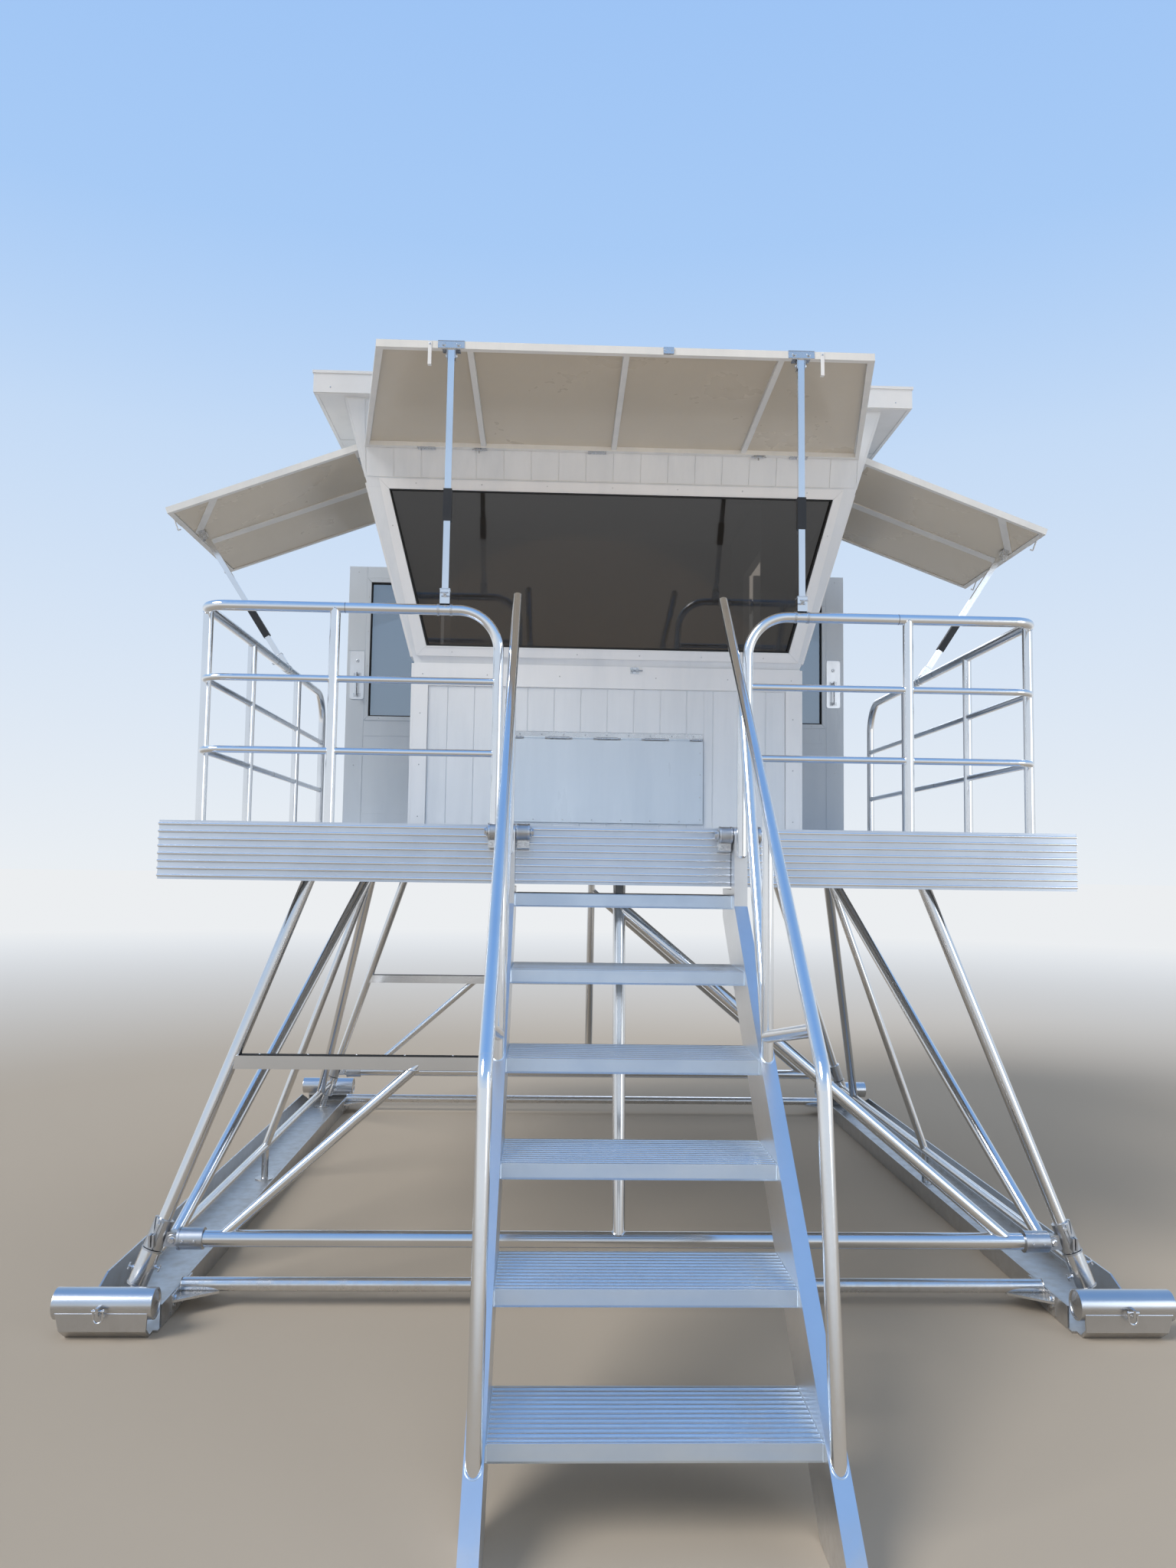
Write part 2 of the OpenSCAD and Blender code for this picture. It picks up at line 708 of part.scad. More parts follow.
// Corner boards, and the band of board along the sill
module wall_trim() {
    corner_w = 90;
    t = trim_t - seat;
    color("white") {
        both_sides() translate([cab_half - corner_w, cab_y - trim_t, deck_h + 2])
            cube([corner_w, t, sill_h - band_h - 2]);
        both_sides() translate([cab_half + seat, cab_y - trim_t, deck_h + 2])
            cube([t, corner_w + trim_t, sill_h - 10]);
        translate([-cab_half, cab_y - trim_t, sill_z - band_h]) cube([cab_w, t, band_h - 4]);
    }
}

// The roof: a fascia all round, a soffit board, a top sheet and its drip edge
module roof() {
    depth = cab_back + roof_back - roof_y;
    board = 30;
    drip = 6;
    drip_h = 16;
    color("white") translate([0, roof_y, soffit_z]) {
        difference() {
            translate([-roof_half, 0, 0]) cube([2 * roof_half, depth, roof_t]);
            translate([board - roof_half, board, 18])
                cube([2 * (roof_half - board), depth - 2 * board, roof_t - 40]);
        }
        translate([-roof_half - drip, -drip, roof_t - drip_h])
            cube([2 * (roof_half + drip), depth + 2 * drip, drip_h]);
    }
}

// A shutter drawn flat: y runs out from the hinge, the skin is on top, ribs below
module shutter_outline(hinge_half, edge_half, len) {
    polygon([[-hinge_half, 0], [hinge_half, 0], [edge_half, len], [-edge_half, len]]);
}
module shutter_panel(hinge_half, edge_half, len, ribs) {
    skin = 8;
    rim = 30;
    translate([0, 0, -skin]) linear_extrude(skin) shutter_outline(hinge_half, edge_half, len);
    translate([0, 0, -shutter_t]) linear_extrude(shutter_t) difference() {
        shutter_outline(hinge_half, edge_half, len);
        translate([0, rim]) shutter_outline(hinge_half - rim, edge_half - rim, len - 2 * rim);
    }
    for (x = ribs) translate([x - rim / 2, rim, 8 - shutter_t])
        cube([rim, len - 2 * rim, shutter_t - 8]);
}
shutter_z = soffit_z - shutter_drop;
front_hinge_y = cab_y - flare_out(shutter_z) - 2 * seat;
side_hinge_x = cab_half + flare_out(shutter_z) + 4.1;
side_mid_y = doorway_front - 25 - side_shutter_w / 2;
module at_front_hinge() {
    translate([0, front_hinge_y, shutter_z]) rotate([-front_tilt, 0, 0]) mirror([0, 1, 0])
        children();
}
module at_side_hinge() {
    translate([side_hinge_x, side_mid_y, shutter_z]) rotate([0, side_tilt, 0])
        rotate([0, 0, -90]) children();
}
module front_shutter() {
    color("white") at_front_hinge()
        shutter_panel(shutter_hinge_half, shutter_edge_half, shutter_len, [-780, 0, 780]);
}
module side_shutter() {
    half = side_shutter_w / 2;
    at_side_hinge() shutter_panel(half, half, shutter_len, [-half / 3, half / 3]);
}
module left_shutter() { color("white") on_left() side_shutter(); }
module right_shutter() { color("white") side_shutter(); }

// Square telescoping props from a socket on the rails up to the shutters' undersides
module along(a, b) {
    v = b - a;
    translate(a) rotate([0, acos(v[2] / norm(v)), atan2(v[1], v[0])]) children();
}
module square_bar(w, from, len) { translate([-w / 2, -w / 2, from]) cube([w, w, len]); }
socket_w = 48;
socket_h = 74;
front_prop_foot = [prop_x, rail_front_inset, rail_z];
front_prop_head = [prop_x, front_hinge_y - (shutter_len - 22) * cos(front_tilt),
    shutter_z + (shutter_len - 22) * sin(front_tilt)];
side_prop_foot = [rail_side_x, side_prop_y, rail_z];
side_prop_head = [side_hinge_x + (shutter_len - 70) * cos(side_tilt), side_prop_y,
    shutter_z - (shutter_len - 70) * sin(side_tilt)];
module prop(foot, head) {
    along(foot, head) {
        square_bar(socket_w, rail_od / 2 + seat, socket_h);
        square_bar(prop_w, rail_od / 2 + seat, norm(head - foot) - rail_od / 2);
    }
}
module above_shutter() {
    translate([-2 * shutter_len, -shutter_t, -shutter_t - seat])
        cube([4 * shutter_len, 2 * shutter_len, shutter_len / 3]);
}
module shutter_props() {
    color("silver") both_sides() {
        difference() {
            prop(front_prop_foot, front_prop_head);
            at_front_hinge() above_shutter();
        }
        difference() {
            prop(side_prop_foot, side_prop_head);
            at_side_hinge() above_shutter();
        }
    }
}
front_sleeve_at = 440;
front_sleeve_len = 160;
side_sleeve_at = 240;
side_sleeve_len = 220;
module sleeve(foot, head, from, len) {
    wall = 5;
    along(foot, head) difference() {
        square_bar(prop_w + 2 * wall, from, len);
        square_bar(prop_w + 2 * seat, from - 1, len + 2);
    }
}
module prop_sleeves() {
    color("black") both_sides() {
        sleeve(front_prop_foot, front_prop_head, front_sleeve_at, front_sleeve_len);
        sleeve(side_prop_foot, side_prop_head, side_sleeve_at, side_sleeve_len);
    }
}

// A door leaf, drawn open: it stands straight out from the side wall
leaf_x = hinge_x + leaf_edge;
leaf_y = hinge_y - hinge_clear - door_t;
leaf_z = deck_h + 15;
light_side = 175;
light_low = 945;
light_w = door_w - 2 * light_side;
light_h = 1050;
light_x = leaf_x + light_side;
light_z = leaf_z + light_low;
hinge_heights = [for (k = [0.11, 0.5, 0.89]) leaf_z + k * door_h];
hinge_pin = 10;
eye_h = 80;
module door_handle() {
    plate_w = 104;
    plate_h = 370;
    plate_x = leaf_x + door_w - plate_w - 30;
    plate_z = light_z + light_h / 8;
    stand = 44;
    grip = 160;
    translate([plate_x, -4, plate_z]) cube([plate_w, 4, plate_h]);
    for (k = [30, 30 + grip]) translate([plate_x + plate_w / 2, -stand, plate_z + k])
        rotate([-90, 0, 0]) cylinder(d = 12, h = stand);
    translate([plate_x + plate_w / 2, -stand, plate_z + 24]) cylinder(d = 14, h = grip + 12);
}
module door() {
    difference() {
        union() {
            translate([leaf_x, leaf_y, leaf_z]) cube([door_w, door_t, door_h]);
            translate([0, leaf_y, 0]) door_handle();
            translate([0, leaf_y + door_t, 0]) mirror([0, 1, 0]) door_handle();
            for (z = hinge_heights) translate([hinge_x, hinge_y, z - eye_h / 2]) {
                cylinder(d = 22, h = eye_h);
                translate([0, -10, 0]) cube([40, 4.5, eye_h]);
                translate([12, -hinge_clear - 1, 0]) cube([28, 11, eye_h]);
            }
        }
        translate([light_x, leaf_y - 1, light_z]) cube([light_w, door_t + 2, light_h]);
        for (z = hinge_heights) translate([hinge_x, hinge_y, z - eye_h])
            cylinder(d = hinge_pin + 2 * pin_gap, h = 2 * eye_h);
    }
}
module door_glass() {
    pane_t = 6;
    translate([light_x + seat, leaf_y + (door_t - pane_t) / 2, light_z + seat])
        cube([light_w - 2 * seat, pane_t, light_h - 2 * seat]);
}
module left_door() { color("white") on_left() door(); }
module right_door() { color("white") door(); }
module left_door_glass() { color("dimgray") on_left() door_glass(); }
module right_door_glass() { color("dimgray") door_glass(); }
// Fixed halves of the door hinges: a pin, with an arm above and below each eye
module door_hinges() {
    arm = 14;
    rise_to_arm = eye_h / 2 + 6;
    color("gainsboro") both_sides() for (z = hinge_heights) translate([hinge_x, hinge_y, z]) {
        translate([0, 0, -rise_to_arm - arm]) cylinder(d = hinge_pin, h = 2 * (rise_to_arm + arm));
        for (z0 = [-rise_to_arm - arm, rise_to_arm])
            translate([seat - hinge_clear, -4, z0]) cube([20, 30, arm]);
    }
}

// The low hatch, hung from a long hinge with knuckles taken in turn
hatch_pivot_y = cab_y - 12;
hatch_pivot_z = deck_h + hatch_top + 12;
hatch_pin = 6;
knuckle_d = 14;
knuckle_pitch = 150;
module knuckle(len) { rotate([0, 90, 0]) cylinder(d = knuckle_d, h = len, center = true); }
module front_hatch() {
    len = knuckle_pitch - 20;
    color("whitesmoke") translate([0, hatch_pivot_y, hatch_pivot_z]) difference() {
        union() {
            translate([-hatch_w / 2, -hatch_t / 2, -12 - hatch_h]) cube([hatch_w, hatch_t, hatch_h]);
            for (i = [-3, -1, 1, 3]) translate([i * knuckle_pitch, 0, 0]) {
                knuckle(len);
                translate([-len / 2, -3, -20]) cube([len, 6, 20]);
            }
        }
        rotate([0, 90, 0]) cylinder(d = hatch_pin + 2 * pin_gap, h = 2 * hatch_w, center = true);
    }
}
module hatch_hinge() {
    len = knuckle_pitch - 20;
    reach = cab_y - hatch_pivot_y - seat;
    color("gainsboro") translate([0, hatch_pivot_y, hatch_pivot_z]) {
        rotate([0, 90, 0]) cylinder(d = hatch_pin, h = hatch_w, center = true);
        for (i = [-2, 0, 2]) translate([i * knuckle_pitch, 0, 0]) {
            knuckle(len);
            translate([-len / 2, 0, 0]) cube([len, reach, 7]);
        }
        for (e = [-1, 1]) translate([e * (hatch_w / 2 - 33), 0, 0]) {
            knuckle(66);
            translate([-33, 0, 0]) cube([66, reach, 7]);
        }
        translate([-hatch_w / 2, reach - 4, 0]) cube([hatch_w, 4, 34]);
    }
}

// Where the stair hangs: two sleeves each side on saddles, and a pin through both
sleeve_len = 60;
hang_gap = 5;
stringer_x = tread_w / 2 + stringer_w / 2;
module stair_brackets() {
    sleeve_x = stringer_w / 2 + hang_gap + sleeve_len / 2;
    color("gainsboro") both_sides() translate([stringer_x, pivot_y, pivot_z]) {
        for (e = [-1, 1]) translate([e * sleeve_x, 0, 0]) {
            rotate([0, 90, 0]) cylinder(d = pivot_eye, h = sleeve_len, center = true);
            translate([-25, 0, -30]) cube([50, -pivot_y - seat, 60]);
        }
        rotate([0, 90, 0]) cylinder(d = pivot_d, h = 2 * sleeve_x + sleeve_len + 6, center = true);
    }
}

// A stringer: a plank on edge, cut level on the ground, with a head up to the pin
head_y = pivot_y - 50;
module stringer() {
    under = deck_h - fascia_h - 12;
    line = stringer_proud / cos(stair_angle);
    drop = stringer_d / cos(stair_angle);
    back_y = first_nose_y + top_tread_d;
    translate([tread_w / 2, 0, 0]) difference() {
        union() {
            rotate([90, 0, 90]) linear_extrude(stringer_w)
                polygon([[foot_toe_y, 0], [head_y, nose_line(head_y) + line], [head_y, pivot_z],
                    [-12, pivot_z], [-12, under], [back_y, under],
                    [back_y, nose_line(back_y) + line - drop],
                    [foot_toe_y + drop / stair_slope, 0]]);
            translate([0, pivot_y, pivot_z]) rotate([0, 90, 0])
                cylinder(d = pivot_eye, h = stringer_w);
        }
        translate([-1, pivot_y, pivot_z]) rotate([0, 90, 0])
            cylinder(d = pivot_d + 2 * pin_gap, h = stringer_w + 2);
    }
}
module stair_stringers() { color("silver") both_sides() stringer(); }
// A tread: a ribbed plank with a deep front lip, a rear flange and a stiffener
module tread_profile(depth) {
    rib_h = 3;
    rib_count = 12;
    top = tread_t - rib_h;
    for (i = [0:rib_count - 1])
        translate([16 + i * (depth - 40) / (rib_count - 1), top]) square([10, rib_h]);
    translate([0, top - web_t]) square([depth, web_t]);
    polygon([[0, 8], [4, 0], [12, 0], [12, top], [0, top]]);
    for (y = [depth / 2, depth - web_t]) translate([y, 16]) square([web_t, top - 16]);
}
module stair_treads() {
    color("silver") for (i = [0:tread_count - 1])
        translate([seat - tread_w / 2, first_nose_y - i * tread_run,
                deck_h - (i + 1) * rise - tread_t])
            rotate([90, 0, 90]) linear_extrude(tread_w - 2 * seat)
                tread_profile(i == 0 ? top_tread_d : tread_d);
}

// A handrail and its posts. The rail slopes down to a bent foot; a steep strut and a
// short level one stiffen it. Each tube is coped to what it meets.
hand_bend = 150;
hand_corner_y = first_nose_y - 4.65 * tread_run;
hand_foot_y = first_nose_y - 5.17 * tread_run;
function on_rail(y) = let (a = nose_line(hand_corner_y) + handrail_low,
        b = nose_line(handrail_back) + handrail_high)
    [stringer_x, y, a + (b - a) * (y - hand_corner_y) / (handrail_back - hand_corner_y)];
function on_stringer(y, up) = [stringer_x, y, nose_line(y) + up];
hand_corner = on_rail(hand_corner_y);
hand_top = on_rail(handrail_back);
hand_foot = on_stringer(hand_foot_y, -30);
up_way = (hand_top - hand_corner) / norm(hand_top - hand_corner);
down_way = (hand_foot - hand_corner) / norm(hand_foot - hand_corner);
half_turn = acos(up_way * down_way) / 2;
bend_start = hand_corner + up_way * hand_bend / tan(half_turn);
bend_end = hand_corner + down_way * hand_bend / tan(half_turn);
bend_mid = hand_corner
    + (up_way + down_way) / norm(up_way + down_way) * hand_bend / sin(half_turn);
module sloping_rail(d) {
    rod(bend_start, hand_top, d);
    end_plug(bend_start, hand_top, d);
}
module bent_foot(d) {
    from = bend_start - bend_mid;
    translate(bend_mid) rotate([90, 0, 90]) rotate([0, 0, atan2(from[2], from[1])])
        elbow(hand_bend, d, 180 - 2 * half_turn);
    rod(bend_end, hand_foot, d);
}
upper_post_y = head_y - handrail_od / 2 - seat;
lower_post_y = first_nose_y - 2 * tread_run;
module upper_post(d) {
    low = [stringer_x, upper_post_y, deck_h - 130];
    rod(low, on_rail(upper_post_y), d);
    end_plug(on_rail(upper_post_y), low, d);
}
module lower_post(d) { rod(on_stringer(lower_post_y, -40), on_rail(lower_post_y), d); }
module handrail_side() {
    d = handrail_od;
    gap = d + 2 * seat;
    strut_top = on_rail(upper_post_y) - [0, 0, 30];
    difference() {
        union() {
            sloping_rail(d);
            bent_foot(d);
            difference() {
                lower_post(d);
                sloping_rail(gap);
            }
        }
        translate([0, 0, seat]) stringer();
    }
    difference() {
        upper_post(d);
        sloping_rail(gap);
    }
    difference() {
        rod(strut_top, on_stringer(lower_post_y, 70), d);
        upper_post(gap);
        lower_post(gap);
        sloping_rail(gap);
    }
    difference() {
        rod(on_stringer(lower_post_y, 90), bend_start + up_way * 2.5 * d, d);
        lower_post(gap);
        sloping_rail(gap);
    }
}
module stair_handrails() { color("silver") both_sides() handrail_side(); }

placed() runners();
placed() runner_noses();
placed() tow_shackles();
placed() runner_pipes();
placed() front_legs();
placed() rear_legs();
placed() left_side_braces();
placed() right_side_braces();
placed() leg_clamps();
placed() cross_tubes();
placed() ground_tubes();
placed() front_bracing();
placed() rear_bracing();
placed() deck_beams();
placed() deck_joists();
placed() deck_planks();
placed() front_fascia();
placed() rear_fascia();
placed() side_fascias();
placed() left_front_railing();
placed() right_front_railing();
placed() left_side_railing();
placed() right_side_railing();
placed() front_wall();
placed() side_walls();
placed() rear_wall();
placed() front_flared_wall();
placed() left_flared_wall();
placed() right_flared_wall();
placed() window_frames();
placed() window_glass();
placed() wall_trim();
placed() roof();
placed() front_shutter();
placed() left_shutter();
placed() right_shutter();
placed() shutter_props();
placed() prop_sleeves();
placed() left_door();
placed() left_door_glass();
placed() right_door();
placed() right_door_glass();
placed() door_hinges();
placed() front_hatch();
placed() hatch_hinge();
placed() stair_brackets();
placed() stair_stringers();
placed() stair_treads();
placed() stair_handrails();
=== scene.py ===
# %% [markdown]
# # A lifeguard tower
# The tower is a small white cabin on a square aluminium deck, held up by leaning tubes on
# two long runners. The solids come from the workshop drawing, so this lesson moves none of
# them. It gives each one its finish, adds the boards, bolts, screws and weld beads that are
# too small for the drawing, and sets up a camera and light.

# %% Open the frame
import math
import bmesh
import bpy
from mathutils import Matrix, Vector


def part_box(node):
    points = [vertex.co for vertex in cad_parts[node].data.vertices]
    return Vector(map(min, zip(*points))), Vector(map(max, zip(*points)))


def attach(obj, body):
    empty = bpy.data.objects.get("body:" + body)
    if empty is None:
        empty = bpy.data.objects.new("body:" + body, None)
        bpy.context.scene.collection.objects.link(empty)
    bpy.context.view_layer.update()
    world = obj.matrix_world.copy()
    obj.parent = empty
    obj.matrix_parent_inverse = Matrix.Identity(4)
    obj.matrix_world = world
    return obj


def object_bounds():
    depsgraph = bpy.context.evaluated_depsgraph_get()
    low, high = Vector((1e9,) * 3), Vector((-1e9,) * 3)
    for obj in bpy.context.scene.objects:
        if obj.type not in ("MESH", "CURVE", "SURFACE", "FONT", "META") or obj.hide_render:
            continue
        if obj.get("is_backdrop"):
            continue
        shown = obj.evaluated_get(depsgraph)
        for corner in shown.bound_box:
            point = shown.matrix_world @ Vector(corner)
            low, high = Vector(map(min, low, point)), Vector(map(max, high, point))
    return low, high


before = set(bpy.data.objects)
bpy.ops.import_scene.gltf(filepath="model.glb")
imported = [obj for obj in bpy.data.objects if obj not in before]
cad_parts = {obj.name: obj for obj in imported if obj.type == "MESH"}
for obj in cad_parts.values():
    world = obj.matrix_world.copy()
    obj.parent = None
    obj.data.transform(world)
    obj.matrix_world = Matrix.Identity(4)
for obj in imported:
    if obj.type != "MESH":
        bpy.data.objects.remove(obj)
cad_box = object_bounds()
front_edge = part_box("front_fascia")[0][1]
deck_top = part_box("deck_planks")[1][2]
deck_long = 4.27
print("solids", len(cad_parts), "deck's front edge at y", round(front_edge, 4))

# %% [markdown]
# ## The camera
# The camera was found by fitting the photograph's straight edges, which gives where it
# stood, how it was turned and how wide it sees. Blender could take three Euler angles, but
# a matrix built from the three turns keeps their order plain.


# %% The camera
def at(x, y, z):
    """A point of the tower, with y counted back from the deck's front edge."""
    return Vector((x, front_edge + y, z))


scene = bpy.context.scene
scene.view_settings.view_transform = "Standard"
stand = at(-0.3375, -5.1745, 1.9926)
yaw, pitch, roll = -0.0324, 0.076, -0.0144
focal_pixels, frame_height, sensor_height = 1458.19, 2048, 24.0
turned = (Matrix.Rotation(yaw, 3, "Z") @ Matrix.Rotation(pitch, 3, "X")
          @ Matrix.Rotation(roll, 3, "Y"))
right, ahead, up = (turned @ Vector(v) for v in ((1, 0, 0), (0, 1, 0), (0, 0, 1)))
camera = bpy.data.objects.new("camera", bpy.data.cameras.new("camera"))
scene.collection.objects.link(camera)
camera.matrix_world = (Matrix.Translation(stand)
                       @ Matrix((right, up, -ahead)).transposed().to_4x4())
camera.data.sensor_fit = "VERTICAL"
camera.data.sensor_height = sensor_height
camera.data.lens = sensor_height * focal_pixels / frame_height
camera.data.clip_end = 900.0
scene.camera = camera
print("lens", round(camera.data.lens, 2), "mm")

# %% [markdown]
# ## Node helpers
# Every finish here is a small web of nodes: a pattern in real metres drives the colour, the
# roughness and a fine bump. Writing each web by hand would hide what differs between two
# finishes, so two short helpers add a node and join sockets.


# %% Node helpers
def add(tree, kind, **values):
    """A new node. A value whose name is a socket's goes there, and others are settings."""
    node = tree.nodes.new(kind)
    for key, value in values.items():
        label = key.replace("_", " ").title()
        if label in node.inputs:
            node.inputs[label].default_value = value
        else:
            setattr(node, key, value)
    return node


def new_material(name):
    """A material, its tree of nodes and the shader in it."""
    made = bpy.data.materials.new(name)
    made.use_nodes = True
    return made, made.node_tree, made.node_tree.nodes["Principled BSDF"]


def pattern(tree, scale, stretch=(1, 1, 1), detail=4.0, roughness=0.55):
    """Noise in metres: scale is how many blotches go in a metre."""
    place = add(tree, "ShaderNodeTexCoord")
    size = add(tree, "ShaderNodeMapping")
    size.inputs["Scale"].default_value = stretch
    noise = add(tree, "ShaderNodeTexNoise", scale=scale, detail=detail, roughness=roughness)
    tree.links.new(place.outputs["Object"], size.inputs["Vector"])
    tree.links.new(size.outputs["Vector"], noise.inputs["Vector"])
    return noise.outputs["Fac"]


def spread(tree, source, low, high, start=0.35, stop=0.65):
    """Maps a pattern's middle range onto low to high."""
    node = add(tree, "ShaderNodeMapRange", clamp=True)
    for key, value in (("From Min", start), ("From Max", stop), ("To Min", low), ("To Max", high)):
        node.inputs[key].default_value = value
    tree.links.new(source, node.inputs["Value"])
    return node.outputs["Result"]


def blend_colours(tree, share, first, second):
    """One colour turning into another. Each may be three numbers or a socket."""
    first_socket, second_socket, colour_result = 6, 7, 2
    node = add(tree, "ShaderNodeMix", data_type="RGBA")
    tree.links.new(share, node.inputs["Factor"])
    for index, colour in ((first_socket, first), (second_socket, second)):
        if isinstance(colour, tuple):
            node.inputs[index].default_value = (*colour, 1.0)
        else:
            tree.links.new(colour, node.inputs[index])
    return node.outputs[colour_result]


def bumped(tree, surface, source, depth):
    """Lets a pattern dent the surface by up to depth metres."""
    node = add(tree, "ShaderNodeBump", strength=1.0, distance=depth)
    tree.links.new(source, node.inputs["Height"])
    tree.links.new(node.outputs["Normal"], surface.inputs["Normal"])


def height_share(tree, low, high):
    """1 at height low, falling to 0 at height high."""
    place = add(tree, "ShaderNodeTexCoord")
    parts = add(tree, "ShaderNodeSeparateXYZ")
    tree.links.new(place.outputs["Object"], parts.inputs[0])
    return spread(tree, parts.outputs["Z"], 1.0, 0.0, low, high)


print("node helpers ready")

# %% [markdown]
# ## Air, floor and light
# Bright tube and polished plank have hardly a colour of their own: they show what is round
# them. A grey studio would make them look like pewter, and an image of a sky can't be kept
# with the script. So the floor is plain and pale, and the sky is a smooth run from near
# white at the horizon to blue overhead. Light Path lets the eye, gloss and glass see the
# sky at full strength while it lights the tower less.


# %% The rays that see the background
def seen_rays(tree):
    """1 for what the eye, gloss and glass see, and 0 for what lights the tower."""
    rays = add(tree, "ShaderNodeLightPath")
    seen = rays.outputs["Is Camera Ray"]
    for name in ("Is Glossy Ray", "Is Transmission Ray"):
        either = add(tree, "ShaderNodeMath", operation="MAXIMUM")
        tree.links.new(seen, either.inputs[0])
        tree.links.new(rays.outputs[name], either.inputs[1])
        seen = either.outputs[0]
    return seen


print("background rays ready")

# %% The sky
horizon_sky, middle_sky, high_sky = (0.82, 0.86, 0.90), (0.44, 0.64, 0.93), (0.22, 0.44, 0.88)
lighting_sky, lighting_strength = (0.72, 0.86, 1.06), 0.46
world = bpy.data.worlds.new("pale_sky")
scene.world = world
world.use_nodes = True
sky = world.node_tree
sky.nodes.clear()
sky_place = add(sky, "ShaderNodeTexCoord")
sky_parts = add(sky, "ShaderNodeSeparateXYZ")
sky.links.new(sky_place.outputs["Generated"], sky_parts.inputs[0])
sky_low = spread(sky, sky_parts.outputs["Z"], 0.0, 1.0, 0.0, 0.50)
sky_high = spread(sky, sky_parts.outputs["Z"], 0.0, 1.0, 0.35, 1.0)
sky_colour = blend_colours(sky, sky_low, horizon_sky, middle_sky)
sky_colour = blend_colours(sky, sky_high, sky_colour, high_sky)
seen = seen_rays(sky)
glow = add(sky, "ShaderNodeBackground")
sky.links.new(blend_colours(sky, seen, lighting_sky, sky_colour), glow.inputs["Color"])
sky.links.new(spread(sky, seen, lighting_strength, 1.0, 0.0, 1.0), glow.inputs["Strength"])
sky.links.new(glow.outputs[0], add(sky, "ShaderNodeOutputWorld").inputs["Surface"])
print("sky nodes", len(sky.nodes))

# %% The floor's disc
floor_mesh = bpy.data.meshes.new("floor")
floor_bm = bmesh.new()
floor_radius, floor_level = 300.0, -0.001
bmesh.ops.create_circle(floor_bm, cap_ends=True, segments=96, radius=floor_radius)
bmesh.ops.translate(floor_bm, verts=floor_bm.verts, vec=(0, 0, floor_level))
floor_bm.to_mesh(floor_mesh)
floor_bm.free()
floor = bpy.data.objects.new("floor", floor_mesh)
scene.collection.objects.link(floor)
floor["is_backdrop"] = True
print("floor", round(floor.dimensions.x), "m across")

# %% The floor's finish, which fades into haze far from the tower
near_floor, haze = (0.55, 0.475, 0.39), (0.84, 0.86, 0.88)
floor_finish, floor_tree, floor_surface = new_material("floor_finish")
floor_place = add(floor_tree, "ShaderNodeTexCoord")
floor_far = add(floor_tree, "ShaderNodeVectorMath", operation="LENGTH")
floor_tree.links.new(floor_place.outputs["Object"], floor_far.inputs[0])
floor_fade = spread(floor_tree, floor_far.outputs["Value"], 0.0, 1.0, 6.0, 26.0)
floor_tree.links.new(blend_colours(floor_tree, floor_fade, near_floor, haze),
                     floor_surface.inputs["Base Color"])
floor_surface.inputs["Roughness"].default_value = 0.9
floor_surface.inputs["Specular IOR Level"].default_value = 0.1
floor_glow = add(floor_tree, "ShaderNodeEmission")
floor_glow.inputs["Color"].default_value = (*haze, 1.0)
floor_mix = add(floor_tree, "ShaderNodeMixShader")
floor_haze = spread(floor_tree, floor_far.outputs["Value"], 0.0, 1.0, 7.0, 30.0)
floor_seen = add(floor_tree, "ShaderNodeMath", operation="MULTIPLY")
floor_tree.links.new(floor_haze, floor_seen.inputs[0])
floor_tree.links.new(seen_rays(floor_tree), floor_seen.inputs[1])
floor_tree.links.new(floor_seen.outputs[0], floor_mix.inputs[0])
floor_tree.links.new(floor_surface.outputs[0], floor_mix.inputs[1])
floor_tree.links.new(floor_glow.outputs[0], floor_mix.inputs[2])
floor_tree.links.new(floor_mix.outputs[0], floor_tree.nodes["Material Output"].inputs["Surface"])
floor_mesh.materials.append(floor_finish)
print("floor nodes", len(floor_tree.nodes))

# %% [markdown]
# ## The lamps
# Soft light comes from a wide sun, a fill from the camera's right and one from the back. The
# undersides of the shutters need a fourth lamp: it stands low in front and shines up, warm,
# as light does that a pale floor sends back. The floor's own bounce does this too, but far
# too weakly. The lamp is kept out of reflections, since no such disc belongs in them.


# %% The lamps
def soft_lamp(name, place, target, size, power, colour=(1, 1, 1)):
    """A round lamp at place, turned to target, both counted from the deck's edge."""
    lamp = bpy.data.objects.new(name, bpy.data.lights.new(name, "AREA"))
    lamp.data.shape = "DISK"
    lamp.data.size = size
    lamp.data.energy = power
    lamp.data.color = colour
    lamp.location = at(*place)
    lamp.rotation_euler = (at(*target) - lamp.location).to_track_quat("-Z", "Y").to_euler()
    scene.collection.objects.link(lamp)
    return lamp


sun = bpy.data.objects.new("sun", bpy.data.lights.new("sun", "SUN"))
sun.data.energy = 1.8
sun.data.angle = math.radians(28)
sun.data.color = (1.0, 0.97, 0.92)
sun.rotation_euler = Vector((-0.60, -0.44, 0.66)).to_track_quat("Z", "Y").to_euler()
scene.collection.objects.link(sun)
lamps = [
    sun,
    soft_lamp("fill", (8.0, -7.0, 4.0), (0, 0.5, 2.0), 6.0, 170, (0.92, 0.96, 1.0)),
    soft_lamp("back", (2.0, 12.0, 9.0), (0, 2.0, 3.0), 6.0, 160),
    soft_lamp("low_glow", (0, -4.5, 0.2), (0, 0.8, 3.6), 5.0, 28, (1.0, 0.70, 0.40)),
]
low_glow = lamps[-1]
low_glow.visible_glossy = False
low_glow.data.spread = math.radians(66)
print("lamps", [round(lamp.data.energy) for lamp in lamps])

